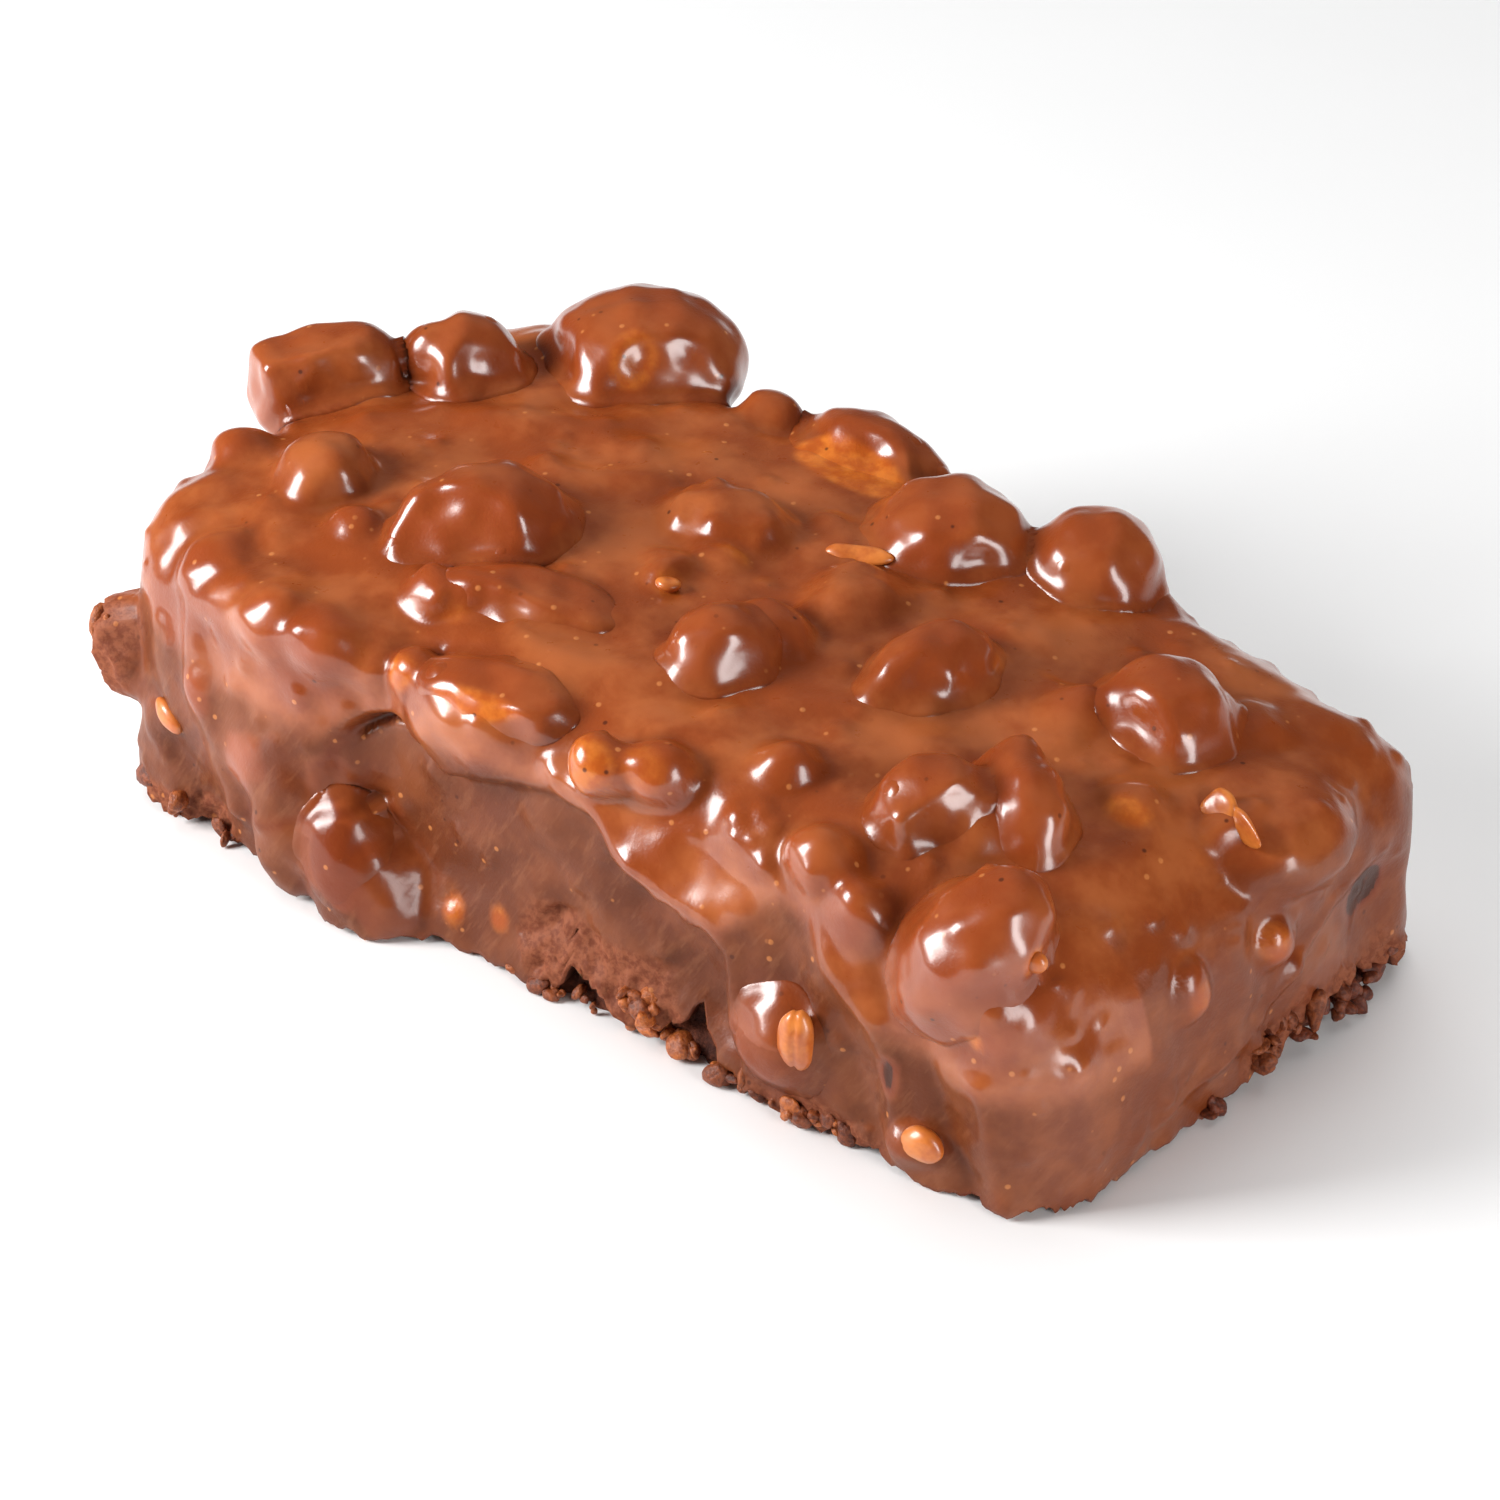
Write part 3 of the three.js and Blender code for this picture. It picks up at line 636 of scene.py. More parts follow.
SET_BACK_HEM = [  # x, the height of the upper layer's edge on the near side, and its softness
    (-30.5, 3, 1.2), (-29.5, 12, 1.2), (-28, 18, 1.2), (-25.8, 22, 1), (-23, 23.9, 1),
    (-19.5, 25, 1), (-17, 23.4, 1.4), (-14, 21.5, 2), (-9.7, 23.4, 3), (-1, 25.6, 3.2),
    (4, 24.6, 3), (7.7, 21, 2.6), (12.6, 19, 2.4), (17.9, 18, 2.4), (20.6, 15.6, 2), (22, 9, 2),
    (23, 0, 2),
]
SET_BACK, FOOT_SHARE = 2.6, 0.2  # mm, and how much of it is left at the table
FOOT_RISE = (1, 9)  # mm, the heights between which it comes in
NO_HEM = -9  # mm, a hem so low that nothing is set back


def side_relief(p):
    x, z = p[:, 0], p[:, 2]
    along, heights, softness = zip(*SET_BACK_HEM)
    hem = np.interp(x, along, heights, left=NO_HEM, right=NO_HEM)
    below = soft_step((hem - z) / np.interp(x, along, softness), 0, 1) * FACES["near"][1](p)
    relief = SET_BACK * below * (FOOT_SHARE + (1 - FOOT_SHARE) * soft_step(z, *FOOT_RISE))
    for face, points, width, height in RIDGES:
        axes, counts = FACES[face]
        flat = p[:, axes]
        low, high = np.min(points, 0) - 3 * width, np.max(points, 0) + 3 * width
        here = np.flatnonzero((flat > low).all(1) & (flat < high).all(1))
        fall = np.exp(-(line_distance(flat[here], points) / width) ** 2)
        relief[here] -= height * fall * counts(p[here])
    return relief


print("ridges:", len(RIDGES))

# %% [markdown]
# The coat's distance is the bar with its folds, then the hollows cut out, then the lumps melted
# on. The order matters: a nut over a hollow still stands out. Nuts can be shrunk a little, so that
# the coat stays under each nut's own film.

# %% The coat's distance
COLLAR = 2.6  # mm, how wide the chocolate climbs a nut
LUMP_REACH = 2  # mm, how far past its own size a lump is felt


def coat_distance(p, sunk=0.0):
    """Distance to the coat's skin, with the nuts shrunk by sunk."""
    d = bare_bar(p) + ripple(p) + side_relief(p)
    for it in HOLLOWS:
        here = close_to(p, it, LUMP_REACH)
        d[here] = carve(d[here], -lump_distance(p[here], it), it["soft"])
    for it in SWELLS + BITS:
        here = close_to(p, it, LUMP_REACH)
        d[here] = blend(d[here], lump_distance(p[here], it), it["soft"])
    for it in NUTS.values():
        here = close_to(p, it, COLLAR)
        d[here] = blend(d[here], lump_distance(p[here], it, sunk), COLLAR)
    return d


print("distance at the middle of the top:", coat_distance(np.array([[0.0, 0.0, 33.6]])))

# %% [markdown]
# ## From a distance to a mesh
# A cube is cut into small cells, and each of its points walks inwards along its own ray until the
# distance is zero. A ray starts from a smaller block inside the bar, so the rays fan out round the
# shoulders, and no cell is stretched much. This keeps the clean grid of the cube, which shades
# better than a mesh from a volume.

# %% Walk in along rays
INNER = np.array([HALF_LENGTH - SHOULDER, HALF_WIDTH - SHOULDER])
STRIDE, STEPS = 0.75, 70  # the share of the distance walked at each step, and the most steps
CLOSE = 0.008  # mm, near enough to the skin
FAR_OUT = 24.0  # mm, past every nut


def rays(cube, foot_height):
    """Start points and directions for points of a cube of half-size 1."""
    x = LENGTH_CENTRE + cube[:, 0] * HALF_LENGTH
    y = cube[:, 1] * HALF_WIDTH
    top = top_height(x, y)
    foot = foot_height(x, y)
    z = foot + (cube[:, 2] + 1) / 2 * (top - foot)
    core = np.stack([
        np.clip(x, LENGTH_CENTRE - INNER[0], LENGTH_CENTRE + INNER[0]),
        np.clip(y, -INNER[1], INNER[1]),
        np.minimum(z, top - SHOULDER),
    ], 1)
    way = np.stack([x, y, z], 1) - core
    return core, way / np.linalg.norm(way, axis=1, keepdims=True)


def walk(core, way, distance, start, limit=1e9):
    """How far along each ray the distance is zero, but no farther than limit."""
    t = np.full(len(core), float(start))
    limit = np.broadcast_to(limit, t.shape)
    live = np.arange(len(core))
    for _ in range(STEPS):
        gap = distance(core[live] + way[live] * t[live, None])
        t[live] = np.minimum(t[live] - STRIDE * gap, limit[live])
        live = live[(np.abs(gap) > CLOSE) & (t[live] < limit[live])]
        if len(live) == 0:
            break
    return t


def walk_in(core, way, distance):
    return core + way * walk(core, way, distance, FAR_OUT)[:, None]


print("rays start from a block, half of it in mm:", INNER)

# %% [markdown]
# The cube comes from one operator and its cells from another: `subdivide_edges` cuts all edges
# that run along one axis at once. The rest here are small helpers that read and write points.

# %% Cubes, points and waves
WAVE_SPREAD = (0.7, 1.3)  # how far the waves' lengths differ


def cut_cube(cells):
    """A cube of half-size 1 without its bottom, cut into cells along X, Y and Z."""
    bm = bmesh.new()
    bmesh.ops.create_cube(bm, size=2)
    bottom = [f for f in bm.faces if f.normal.z < -0.5]
    bmesh.ops.delete(bm, geom=bottom, context="FACES_ONLY")
    for axis, count in enumerate(cells):
        along = [e for e in bm.edges if abs(e.verts[0].co[axis] - e.verts[1].co[axis]) > 1]
        bmesh.ops.subdivide_edges(bm, edges=along, cuts=count - 1, use_grid_fill=True)
    return bm


def points_of(bm):
    return np.array([v.co for v in bm.verts])


def set_points(bm, points):
    for v, co in zip(bm.verts, points.tolist()):
        v.co = co


def waves(p, per_mm, count, seed):
    """A smooth random relief: many sine waves of about one length, in random directions."""
    draw = np.random.default_rng(seed)
    ways = draw.normal(size=(count, 3))
    lengths = np.linalg.norm(ways, axis=1, keepdims=True)
    ways *= per_mm * draw.uniform(*WAVE_SPREAD, (count, 1)) / lengths
    phases = draw.uniform(0, 2 * math.pi, count)
    return np.sin(2 * math.pi * p @ ways.T + phases).sum(1) / math.sqrt(count)


def normals_of(bm):
    bm.normal_update()
    return np.array([v.normal for v in bm.verts])


def place_in_metres(bm):
    set_points(bm, (points_of(bm) + SHIFT) * MM)


print("a wave in mm, at three points:", waves(np.eye(3), 0.2, 12, 1).round(2))

# %% [markdown]
# ## The coat's hem
# Dipped chocolate doesn't end in a straight line at the table. Its hem wavers by half a millimetre,
# and in a few places it is torn, so that the crumb shows. A tear is a place, a height and a width.

# %% The coat's hem
TEARS = [  # x, y, height, width
    (2.4, -29, 4.4, 3.4), (15.5, -29, 5.4, 3.8), (60, 15, 4.4, 9), (-57, -25, 3.8, 4),
    (-8, 28, 3.8, 8), (38, 28, 3, 5), (-60, 10, 3.2, 6),
]
HEM, HEM_DROP = 0.7, 0.5  # mm above the table, and the farthest it dips from there
HEM_WAVE, HEM_FRAY = 0.5, 0.35  # mm
TEAR_ROUGHNESS = 1.1  # how much rougher a tear is


def hem_height(x, y):
    p = np.stack([x, y, np.zeros_like(x)], 1)
    rough = HEM_WAVE * waves(p, 0.25, 12, 5) + HEM_FRAY * waves(p, 0.7, 12, 6)
    z = HEM + np.maximum(rough, -HEM_DROP)
    for cx, cy, height, width in TEARS:
        near = np.exp(-((x - cx) ** 2 + (y - cy) ** 2) / width ** 2)
        z = z + near * (height + TEAR_ROUGHNESS * rough)
    return z


print("tears in the hem:", len(TEARS))

# %% [markdown]
# ## The skin of the coat
# Now the cube is cut, its rays are laid out and every point walks in. The nuts are shrunk by half
# a millimetre here, which leaves room for their films.

# %% Coat: the skin
COAT_CELLS = (240, 118, 62)
skin = cut_cube(COAT_CELLS)
core, way = rays(points_of(skin), hem_height)
NUT_SUNK = 0.5
skin_points = walk_in(core, way, lambda p: coat_distance(p, NUT_SUNK))
set_points(skin, skin_points)
print("skin:", len(skin.faces), "faces")

# %% [markdown]
# ## Grains and crust
# Chopped nut under the coat lifts it in hundreds of small soft bumps. Near the table the coat is
# mixed with crumb: there it is porous, and the same patches are painted as `crust` later.

# %% Coat: grains and crust
CRUSTS = [
    lump(7, -28, 2.4, 14, 5, 6.8, lean=14),
    lump(32, -29, 1, 9, 4, 3.4),
    lump(-63, -27, 16, 5, 6, 6),
    lump(-50, -29, 2, 8, 4, 3),
    lump(61, 13, 2.4, 5, 15, 4.4),
    lump(-8, 29, 5, 12, 4, 5),
    lump(38, 29, 2, 9, 4, 4),
    lump(-61, 10, 3, 4, 9, 4),
]
CRUST_RAGGED, CRUST_EDGE = 1.1, (-1.4, 0.8)  # mm
CRUST_SWELL, PIT_DEPTH = 0.45, 0.55  # mm
GRAINS, GRAIN_RADIUS, GRAIN_HEIGHT = 420, (0.5, 1.6), (0.25, 0.5)  # count, mm, share of the radius
GRAIN_REACH = 2.5  # radii, past which a grain lifts nothing
SOFT_WAVE, FINE_WAVE = 0.055, 0.026  # mm
SMALL_PITS = 0.5  # how much the smaller pits add to the larger ones
CRUST_REACH = 3  # mm, how far past its own size a crust is felt


def crust_share(p):
    share = np.zeros(len(p))
    for it in CRUSTS:
        here = close_to(p, it, CRUST_REACH)
        edge = lump_distance(p[here], it) + CRUST_RAGGED * waves(p[here], 0.13, 12, 4)
        share[here] = np.maximum(share[here], 1 - soft_step(edge, *CRUST_EDGE))
    return share


draw = np.random.default_rng(11)
normals = normals_of(skin)
seats = skin_points[draw.choice(len(skin_points), GRAINS)]
lift = np.zeros(len(skin_points))
for seat in seats:
    radius = draw.uniform(*GRAIN_RADIUS)
    here = np.flatnonzero((np.abs(skin_points - seat) < GRAIN_REACH * radius).all(1))
    off = np.linalg.norm(skin_points[here] - seat, axis=1) / radius
    height = draw.uniform(*GRAIN_HEIGHT) * radius
    lift[here] = np.maximum(lift[here], height * np.exp(-off ** 2))
lift += SOFT_WAVE * waves(skin_points, 0.16, 20, 1) + FINE_WAVE * waves(skin_points, 0.4, 30, 2)
pits = np.abs(waves(skin_points, 0.3, 24, 7))
pits += SMALL_PITS * np.abs(waves(skin_points, 0.75, 24, 8))
lift += crust_share(skin_points) * (CRUST_SWELL - PIT_DEPTH * pits)
set_points(skin, skin_points + normals * lift[:, None])
print("highest grain in mm:", round(float(lift.max()), 2))

# %% [markdown]
# ## Marks painted on the chocolate
# Each mark is a number from 0 to 1 at every point of a mesh. Some follow from the shape, such as a
# crease or an upright face. Others are places seen on the real bar, given as lumps: a point inside
# the lump is marked, a point outside isn't.

# %% Places of bare kernel and of painted shade
BARE = [  # where, and how strongly
    (lump(-5.6, 23.6, 33.2, 7, 3.4, 3.6, -6), 0.9),
    (lump(-32.6, 22, 37.6, 2.4, 3, 3.6), 0.5),
    (lump(4.6, -30.6, 30.4, 2.9, 2.6, 2.9), 0.8),
    (lump(9.8, -28, 30.6, 2.6, 2, 2.2), 0.4),
    (lump(-9.4, -30, 31.2, 5.6, 1.5, 1.3, 8), 0.9),
    (lump(-19.6, -29, 30, 2, 1.8, 1.8), 0.7),
    (lump(-5.4, -5.4, 34.4, 1.8, 1.6, 1.6), 0.5),
    (lump(-2.9, 2.1, 34.6, 2.4, 1, 1), 0.6),
    (lump(60.8, 0.7, 17.4, 1.6, 1.8, 1.9), 0.55),
    (lump(60.2, -10, 17.2, 1.6, 1.5, 1.6), 0.45),
    (lump(52.2, -26, 27.2, 1.3, 1.3, 1.4), 1),
    (lump(49, -30.4, 19.2, 0.8, 1, 0.9), 0.8),
    (lump(47.6, -4.5, 29.4, 2.2, 1.4, 2), 0.9),
    (lump(-14.4, -28.6, 4.2, 1.3, 1.3, 1.6), 0.8),
    (lump(-8.8, -28.6, 5.6, 1.1, 1.2, 1.3), 0.6),
    (lump(-20.6, -20.4, 32.4, 2.2, 1.6, 1.4), 0.4),
    (lump(20.2, 7.4, 33.2, 1.1, 1.1, 0.8), 0.7),
    (lump(17, 9.6, 33.4, 1.1, 1.1, 0.8), 0.5),
    (lump(26, 5, 32.4, 1.2, 1.2, 0.8), 0.6),
]
# Places painted darker as shade: the nut low on the near side, which lies in the shadow of the fold beside
# it, the coat next to it and under the overhang above it, a recess and a hollow at the low end, and a
# small hole in the near side.
SHADE_PLACES = [
    (lump(-24.6, -36, 8.6, 3.6, 5, 5.2, 0, lean=-14), 0.75),
    (lump(-19.6, -33, 5.4, 3.2, 4, 5, 0), 0.6),
    (lump(-28.8, -30, 14.4, 2.6, 3, 4.2), 0.75),
    (lump(61, 17.8, 13.4, 3, 3.8, 3.2), 1.0),
    (lump(60.5, 10.6, 6.6, 2.4, 4.4, 2.6, 0), 0.7),
    (lump(39.6, -31, 11, 1.3, 1.6, 2.2), 1.0),
]
SATIN_EDGE = [  # x, and how high the dull chocolate reaches on the near side there
    (-62, 26), (-50, 23), (-42, 22), (-35, 22), (-28, 24), (-18, 26), (-5, 25.6), (4, 24.5), (8, 21.5),
    (13, 19.5), (20, 18.5), (26, 23.5), (33, 21), (42, 16), (50, 15), (62, 14),
]
print("places:", len(BARE), "bare,", len(SHADE_PLACES), "dark")

# %% [markdown]
# Marks have soft edges, because chocolate has no sharp borders of colour. A crease is found by
# going out along the normal: over a crease the distance grows more slowly than the way gone.

# %% Paint the marks
PLACE_EDGE = (-0.6, 0.5)  # mm
PLACE_REACH = 1  # mm, how far past its own size a place or a nut is felt
PATCH_WAVE = 0.35  # how far patches of chance shift an edge
# Creases, and grooves deeper and narrower than the limits below, are painted darker as shade; the gain and
# the groove mark say how strongly.
CREASE_REACH, CREASE_GAIN = 0.9, 1.5  # mm, and how strongly a crease is marked
GROOVE_DEPTH, GROOVE_WIDTH, GROOVE_MARK = 0.4, 1, 0.8  # folds deeper and narrower than this
FILM_EDGE, STANDS_OUT = (0.2, 1.2), (0.3, 2.2)  # mm from a nut, and mm off the bare bar
FILM_MARK = 0.8  # how strongly a film is marked
UPRIGHT, UPRIGHT_RAGGED = (0.25, 0.8), 0.15  # the normal's Z, from a wall to a slope
NEAR_SIDE, TOP_EDGE = -16, 27  # mm: where SATIN_EDGE counts, and the dull height elsewhere
SATIN_FADE, SATIN_RAGGED = (-1, 3), 2.5  # mm, where the dull chocolate ends, and how unevenly
LOW_END, LOW_END_SHINE = (48, 56), 0.35  # mm along the bar, and how much less dull it is there
CREASE_SHINE, FILM_SHINE = 0.5, 0.55  # how much less dull a crease and a film are
NUT_FROM = 10  # mm, the height above which films are less dull


def share_of(p, places):
    share = np.zeros(len(p))
    for it, strength in places:
        here = close_to(p, it, PLACE_REACH)
        inside = 1 - soft_step(lump_distance(p[here], it), *PLACE_EDGE)
        share[here] = np.maximum(share[here], strength * inside)
    return share


def paint(obj, name, values):
    mark = obj.data.attributes.new(name, "FLOAT", "POINT")
    mark.data.foreach_set("value", np.clip(values, 0, 1).astype(np.float32))


# Shade painted into creases: going out along the normal there gains less distance than the way gone.
# Narrow deep grooves, which stand for the shadow under an overhang, are painted too.
def creases(p, normal):
    out = coat_distance(p + normal * CREASE_REACH) - coat_distance(p)
    painted_shade = np.clip(CREASE_GAIN * (CREASE_REACH - out), 0, 1)
    for face, points, width, height in RIDGES:
        if height < -GROOVE_DEPTH and width < GROOVE_WIDTH:
            axes, counts = FACES[face]
            fall = np.exp(-(line_distance(p[:, axes], points) / width) ** 2)
            painted_shade = np.maximum(painted_shade, GROOVE_MARK * fall * counts(p))
    return painted_shade


def films(p, patches):
    nearest = np.full(len(p), FAR_OUT)
    for it in list(NUTS.values()) + BITS:
        here = close_to(p, it, PLACE_REACH)
        nearest[here] = np.minimum(nearest[here], np.abs(lump_distance(p[here], it)))
    stands_out = soft_step(bare_bar(p) + ripple(p), *STANDS_OUT)
    return (1 - soft_step(nearest, *FILM_EDGE)) * stands_out * (FILM_MARK + patches)


def marks(obj, p, normal):
    """Paints all five marks on an object with points p, in mm."""
    x, y, z = p.T
    patches = PATCH_WAVE * waves(p, 0.05, 16, 3)
    # The places painted with shade; they join the crease shade and are kept from the dull tones.
    dark = share_of(p, SHADE_PLACES)
    painted_shade, film = np.maximum(creases(p, normal), dark), films(p, patches)
    edge = np.where(y < NEAR_SIDE, np.interp(x, *zip(*SATIN_EDGE)), TOP_EDGE)
    upright = 1 - soft_step(normal[:, 2] + UPRIGHT_RAGGED * patches, *UPRIGHT)
    satin = upright * soft_step(edge + SATIN_RAGGED * patches - z, *SATIN_FADE)
    satin *= (1 - LOW_END_SHINE * soft_step(x, *LOW_END)) * (1 - CREASE_SHINE * painted_shade) * (1 - dark)
    paint(obj, "satin", satin * (1 - FILM_SHINE * film * (z > NUT_FROM)))
    paint(obj, "film", film)
    paint(obj, "painted_shade", painted_shade)
    paint(obj, "bare", share_of(p, BARE))
    paint(obj, "crust", crust_share(p))


print("dull chocolate reaches, in mm:", min(z for _, z in SATIN_EDGE), "to", max(z for _, z in SATIN_EDGE))

# %% [markdown]
# ## Closing the coat
# The coat is a thick shell, open at the bottom for the crumb. The rim of the skin is extruded
# inwards for the hem's thickness, then upwards for the inner wall, and a last face closes the
# inner wall under the top. Nobody sees that face, but a shell that is closed is a solid.

# %% Coat: rim, inner wall and ceiling
CEILING = 9  # mm below the top
HEM_TURN, HEM_TUCK = 0.6, 0.15  # mm inwards, and down
FOOT_LIFT = 0.5  # mm


def extrude_rim(bm, rim, move):
    made = bmesh.ops.extrude_edge_only(bm, edges=rim)["geom"]
    for v in (g for g in made if isinstance(g, bmesh.types.BMVert)):
        v.co = move(v.co)
    return [g for g in made if isinstance(g, bmesh.types.BMEdge)]


def in_block(co):
    """The point nearest to co in the bar's inner block, level with co."""
    x = min(max(co.x, LENGTH_CENTRE - INNER[0]), LENGTH_CENTRE + INNER[0])
    return Vector((x, min(max(co.y, -INNER[1]), INNER[1]), co.z))


def turn_in(co):
    return co + (in_block(co) - co).normalized() * HEM_TURN - Vector((0, 0, HEM_TUCK))


def to_crumb(co):
    """Level with the table, inwards as far as the crumb."""
    heart = in_block(co)
    out = (co - heart).normalized()
    return heart + out * (SHOULDER - SIDE_COAT - SET_BACK) + Vector((0, 0, FOOT_LIFT))


def to_ceiling(co):
    return Vector((co.x, co.y, top_height(co.x, co.y) - CEILING))


rim = [e for e in skin.edges if e.is_boundary]
hem_turn = extrude_rim(skin, rim, turn_in)
inner_foot = extrude_rim(skin, hem_turn, to_crumb)
inner_top = extrude_rim(skin, inner_foot, to_ceiling)
bmesh.ops.holes_fill(skin, edges=inner_top, sides=0)
print("open edges left:", sum(e.is_boundary for e in skin.edges))

# That is what lets the dressed model stand in for the plain one.

# %% Coat: into the scene
bmesh.ops.recalc_face_normals(skin, faces=skin.faces)
final_points = points_of(skin)
final_normals = normals_of(skin)
place_in_metres(skin)
coat = mesh_object("coat", skin, coat_finish)
marks(coat, final_points, final_normals)
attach(coat, "root")
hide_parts("coating")
print("coat triangles:", sum(len(p.vertices) - 2 for p in coat.data.polygons))

# %% [markdown]
# ## Nuts in their film
# Each nut is its own piece. A fine ball grows from the nut's middle until it meets the same
# distance as the coat, fillet included, so that film and coat flow into each other. Where a ray
# would run on along the coat it stops a little outside the nut, and so passes under the coat.

# %% Nuts
SKIRT, SKIRT_SOFT = 1.3, 0.8  # mm that a film may run out over the coat, and how softly it ends
PAST_NUT = 3  # mm, where a ray gives up looking for the coat
NUT_FINENESS = 6
TABLE_GAP = 0.2  # mm
FILM_LIFT, NUT_WAVE = 0.06, 0.08  # mm


def nut_points(ball, it):
    way = ball / np.linalg.norm(ball, axis=1, keepdims=True)
    heart = np.tile(it["at"], (len(way), 1))
    own = walk(heart, way, lambda p: lump_distance(p, it), it["half"].min())
    whole = walk(heart, way, coat_distance, it["half"].min(), own + PAST_NUT)
    reach = blend(whole, own + SKIRT, SKIRT_SOFT)
    points = it["at"] + way * reach[:, None]
    points[:, 2] = np.maximum(points[:, 2], TABLE_GAP)
    return points


def make_nut(name, it, seed):
    ball = bmesh.new()
    bmesh.ops.create_icosphere(ball, subdivisions=NUT_FINENESS, radius=1)
    points = nut_points(points_of(ball) @ np.diag(it["half"]) @ it["turn"].T, it)
    set_points(ball, points)
    lift = FILM_LIFT + NUT_WAVE * waves(points, 0.18, 16, 1)
    lift += FINE_WAVE * waves(points, 0.4, 24, seed)
    set_points(ball, points + normals_of(ball) * lift[:, None])
    final, normal = points_of(ball), normals_of(ball)
    place_in_metres(ball)
    nut = mesh_object(name + "_film", ball, nut_finish)
    marks(nut, final, normal)
    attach(nut, "root")
    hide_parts(name)
    return nut


nuts = [make_nut(name, it, 20 + i) for i, (name, it) in enumerate(NUTS.items())]
print("nuts made:", len(nuts), "of", len(nuts[0].data.polygons), "faces each")

# %% [markdown]
# ## Crumb
# Baked crumb shows only where the hem is torn. It is dry, so its finish has no clear coat, a high
# roughness and a deep bump, and a coarse noise mixes its two browns.

# %% Crumb finish
CRUMB_DARK, CRUMB_PALE = rgb(58, 24, 14), rgb(112, 56, 34)
crumb_look = Finish("brownie_crumb", Specular_IOR_Level=0.3)
place = crumb_look.place()
coarse = crumb_look.noise(place, 0.5, 5, 0.7)
fine = crumb_look.noise(place, 2.2, 4, 0.7)
crumb_finish = crumb_look.shade(
    Base_Color=crumb_look.mix(coarse.step(0.35, 0.7), CRUMB_DARK, CRUMB_PALE),
    Roughness=0.75 + 0.2 * fine,
    Normal=crumb_look.bump(coarse + 0.5 * fine, 0.5),
)
print("finish made:", crumb_finish.name)

# %% [markdown]
# The core is a rougher copy of the bar's own shape, with pits. It is a cut cube again, and most of
# its cells are drawn down towards the table, because only its foot is ever seen.

# %% Crumb core
CRUMB_CELLS = (260, 130, 26)
CRUMB_DEPTH = SIDE_COAT - 0.9  # mm, a little nearer to the skin than the inside of the coat
UNDER_TOP = (-12, -4)  # mm from the top, where the coat grows thicker
CRUMB_LUMPS, CRUMB_PITS = 0.35, 0.3  # mm
LOW_CELLS = 2.2  # how far the cells are drawn towards the table
CUT_REACH = 6  # mm, how far past its own size a hollow is felt in the crumb


def crumb_distance(p):
    top = top_height(p[:, 0], p[:, 1])
    under = soft_step(p[:, 2] - top, *UNDER_TOP)
    d = bare_bar(p) + ripple(p) + side_relief(p) + CRUMB_DEPTH + under * (TOP_COAT - SIDE_COAT)
    for it in HOLLOWS:
        here = close_to(p, it, CUT_REACH)
        d[here] = carve(d[here], CRUMB_DEPTH - lump_distance(p[here], it), it["soft"])
    return d + CRUMB_LUMPS * waves(p, 0.35, 20, 8) + CRUMB_PITS * np.abs(waves(p, 0.8, 24, 9))


crumb = cut_cube(CRUMB_CELLS)
low = points_of(crumb)
low[:, 2] = 2 * ((low[:, 2] + 1) / 2) ** LOW_CELLS - 1
core, way = rays(low, lambda x, y: np.zeros_like(x))
set_points(crumb, walk_in(core, way, crumb_distance))
bmesh.ops.holes_fill(crumb, edges=[e for e in crumb.edges if e.is_boundary], sides=0)
bmesh.ops.recalc_face_normals(crumb, faces=crumb.faces)
place_in_metres(crumb)
brownie = mesh_object("crumb", crumb, crumb_finish)
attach(brownie, "root")
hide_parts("brownie")
print("crumb faces:", len(brownie.data.polygons))

# %% [markdown]
# ## Bare pieces of nut
# A few pieces of kernel escaped the coat. Roasted kernel is orange-brown, smooth and a little
# oily, so its finish has a thin clear coat over two tones of soft fibre.

# %% Bare kernel finish
ROASTED_DARK, ROASTED_PALE = rgb(172, 82, 26), rgb(208, 120, 48)
kernel_look = Finish("bare_kernel", Coat_Roughness=0.15, Coat_Weight=0.5)
place = kernel_look.place()
fibre = kernel_look.noise(place, 0.4, 3, 0.6)
kernel_finish = kernel_look.shade(
    Base_Color=kernel_look.mix(fibre.step(0.3, 0.7), ROASTED_DARK, ROASTED_PALE),
    Roughness=0.3 + 0.2 * fibre,
    Normal=kernel_look.bump(fibre, 0.05),
)
print("finish made:", kernel_finish.name)

# %% [markdown]
# Two ovals and a split half lie on the near side, and small pieces and thin shards on the top.
# Each is a squashed ball again, half sunk in the coat. The split half has the groove where its two
# seed leaves met, pressed in along the middle of its face.

# %% Bare kernels
KERNELS = [  # the piece, and the depth of its groove
    (lump(30.1, -31.6, 11.2, 1.9, 1.4, 3.3, 23), 0.3),
    (lump(-51.6, -30, 12.8, 2.4, 1, 1.3, -15, lean=25), 0),
    (lump(43.8, -30.9, 5.2, 2.5, 1.3, 1.9, 0, lean=-20), 0),
    (lump(52.8, 2.6, 28.2, 2.3, 1.5, 1.9, -20, flats=[(0.2, -1, 0.8, 0.4), (-1, 0, 0.2, 0.7)]), 0),
    (lump(55.4, 2, 27.7, 3.8, 0.6, 1.5, -26, flats=[(0, -1, 0.3, 0.5)]), 0),
    (lump(5.4, 10.6, 33.8, 3.4, 1.1, 1, 25, flats=[(0, -0.6, 1, 0.5)]), 0),
    (lump(52.2, -26, 27.2, 1.1, 0.9, 1.1), 0),
    (lump(-5.6, -5.6, 34.2, 1.3, 1, 0.9, flats=[(0, 0, 1, 0.6)]), 0),
]
GROOVE_HALF, KERNEL_WAVE = 0.25, 0.05  # mm
kernels = bmesh.new()
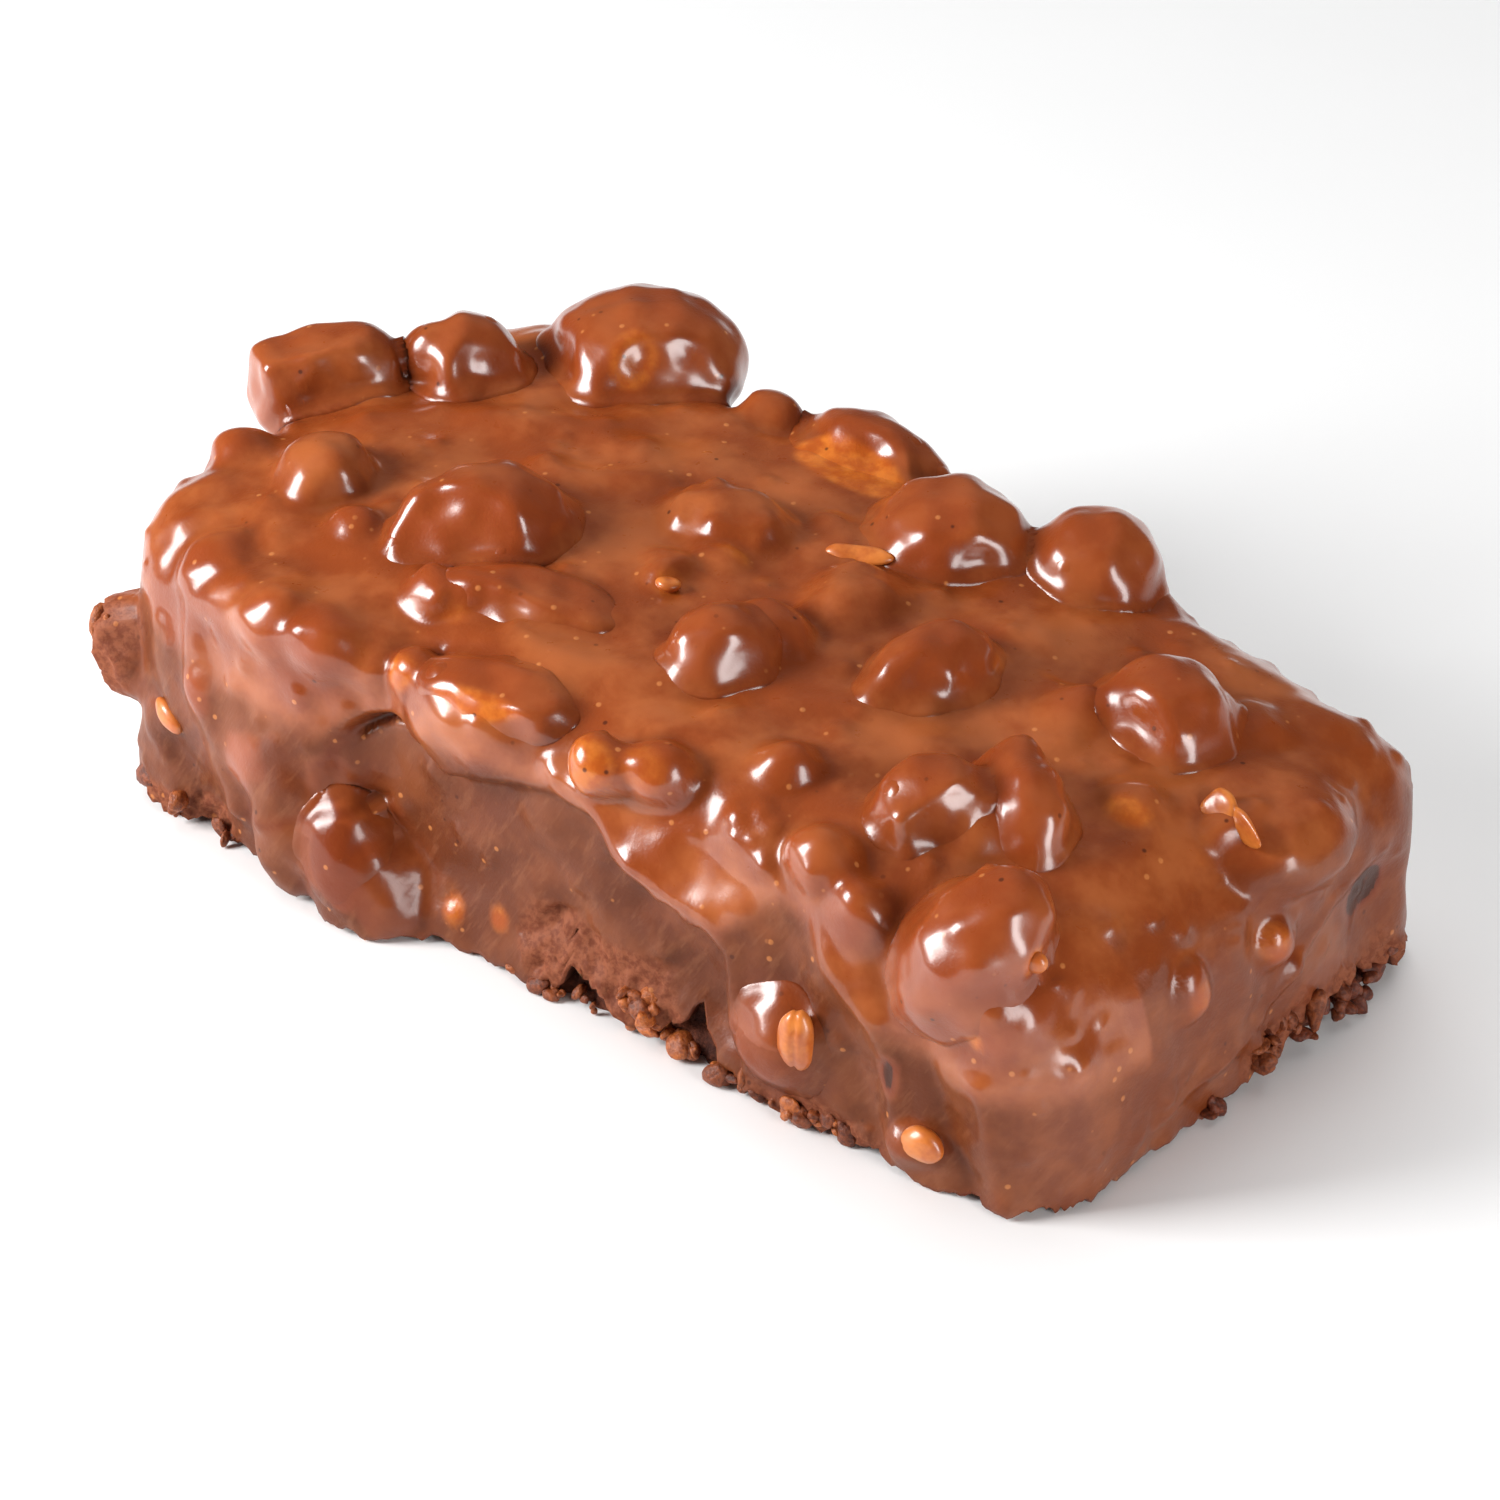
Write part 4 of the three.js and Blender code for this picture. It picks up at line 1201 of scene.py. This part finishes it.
for it, groove in KERNELS:
    ball = bmesh.ops.create_icosphere(kernels, subdivisions=4, radius=1)["verts"]
    way = np.array([v.co for v in ball]) @ np.diag(it["half"]) @ it["turn"].T
    way /= np.linalg.norm(way, axis=1, keepdims=True)
    heart = np.tile(it["at"], (len(way), 1))
    reach = walk(heart, way, lambda p: lump_distance(p, it), it["half"].min())
    points = heart + way * reach[:, None]
    across = ((points - it["at"]) @ it["turn"])[:, 0]
    pressed = groove * np.exp(-(across / GROOVE_HALF) ** 2)
    points -= way * (pressed - KERNEL_WAVE * waves(points, 0.5, 20, 5))[:, None]
    for v, co in zip(ball, points.tolist()):
        v.co = co
place_in_metres(kernels)
bare = mesh_object("bare_kernels", kernels, kernel_finish)
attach(bare, "root")
print("bare kernels:", len(KERNELS))

# %% [markdown]
# ## Loose crumbs at the hem
# Crumbs hang from the torn hem in clumps. A clump is a seeded random cloud of small rough balls,
# and all clumps are one mesh, because hundreds of objects would be slow to handle.

# %% Crumb clumps
CLUMPS = [  # middle, spread, how many, size in mm, share of orange
    ((-57, -24.6, 5), (0.8, 1.4, 2.2), 9, 1.3, 0.1),
    ((-55.4, -27.4, 2.4), (1.4, 0.8, 1), 9, 1.4, 0.3),
    ((-50.6, -29.8, 1.8), (1.2, 0.8, 0.8), 8, 1.4, 0.45),
    ((-44, -30.2, 1), (2, 0.5, 0.4), 4, 1.0, 0.3),
    ((-62.4, -27, 17.4), (0.9, 1.2, 2), 9, 1.5, 0.45),
    ((-24, -32.4, 0.9), (4, 0.8, 0.4), 7, 1.0, 0.4),
    ((9, -29, 3.2), (1.9, 0.5, 1.5), 14, 1.3, 0.85),
    ((15, -28.6, 1.4), (4, 0.6, 0.5), 12, 1.2, 0.5),
    ((-2, -29, 1), (5, 0.5, 0.4), 12, 1.1, 0.4),
    ((23, -29.2, 1.1), (4, 0.6, 0.5), 10, 1.2, 0.4),
    ((31, -30, 1.4), (3.4, 0.6, 0.6), 12, 1.2, 0.55),
    ((60.4, 4, 4.2), (0.6, 4.6, 0.7), 12, 1.2, 0.2),
    ((60.6, 14, 2.4), (0.6, 5.2, 1.4), 18, 1.2, 0.1),
    ((60.6, 22, 3), (0.8, 2.4, 1.2), 9, 1.2, 0.1),
    ((59.6, -5.2, 1), (0.4, 0.5, 0.4), 3, 1.1, 0.1),
    ((-10, 28.6, 2), (7, 0.6, 1.3), 16, 1.3, 0.3),
    ((-60.6, 10, 1.6), (0.6, 6, 0.8), 14, 1.3, 0.3),
]
SPREAD_LIMIT, SPREAD_SHARE = 1.6, 0.7  # the farthest a crumb strays, and the clump's tightness
SMALLEST, STRETCH = 0.45, (0.4, 1.35)  # shares of a crumb's size
SEAT_HEIGHT = 0.85  # the lowest a crumb's middle may lie, as a share of its radius
DENTS, GRIT = 0.5, 0.12  # shares of a crumb's radius
DENT_WAVES, GRIT_WAVES = 0.3, 0.9  # waves for each radius
TONE_SPREAD = (0.3, 1.7)  # how far a crumb's tone strays from its clump's
draw = np.random.default_rng(5)
crumbs = bmesh.new()
tones = []
for middle, spread, count, size, orange in CLUMPS:
    for _ in range(count):
        stray = np.clip(draw.normal(size=3), -SPREAD_LIMIT, SPREAD_LIMIT)
        seat = np.array(middle) + stray * spread * SPREAD_SHARE
        radius = size * draw.uniform(SMALLEST, 1)
        seat[2] = max(seat[2], SEAT_HEIGHT * radius + TABLE_GAP)
        ball = bmesh.ops.create_icosphere(crumbs, subdivisions=3, radius=1)["verts"]
        way = np.array([v.co for v in ball])
        points = way * draw.uniform(*STRETCH, 3) * radius
        dents = DENTS * waves(points + seat, DENT_WAVES / radius, 12, 6)
        grit = GRIT * waves(points + seat, GRIT_WAVES / radius, 12, 7)
        points *= (1 + dents + grit)[:, None]
        points[:, 2] = np.maximum(points[:, 2], TABLE_GAP - seat[2])
        tones += [min(1, orange * draw.uniform(*TONE_SPREAD))] * len(ball)
        for v, co in zip(ball, (seat + points).tolist()):
            v.co = co
place_in_metres(crumbs)
print("crumbs drawn:", sum(clump[2] for clump in CLUMPS))

# %% [markdown]
# Some crumbs are cake and some are glazed with caramel-coloured fat, so each has a tone of its
# own, a number painted on all its points, and the finish runs between two browns by it.

# %% Loose crumbs: finish and piece
BROWN = rgb(60, 20, 9), rgb(112, 50, 28)
AMBER = rgb(140, 66, 26), rgb(196, 110, 52)
loose_look = Finish("loose_crumb", Specular_IOR_Level=0.4)
tone = loose_look.attribute("tone")
grit = loose_look.noise(loose_look.place(), 1.4, 4, 0.7)
brown = loose_look.mix(grit.step(0.35, 0.65), *BROWN)
amber = loose_look.mix(grit.step(0.35, 0.65), *AMBER)
loose = mesh_object("loose_crumbs", crumbs, loose_look.shade(
    Base_Color=loose_look.mix(tone, brown, amber),
    Roughness=0.5 - 0.15 * tone,
    Normal=loose_look.bump(grit, 0.25),
))
paint(loose, "tone", np.array(tones))
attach(loose, "root")
print("loose crumb faces:", len(loose.data.polygons))

# %% [markdown]
# ## The end
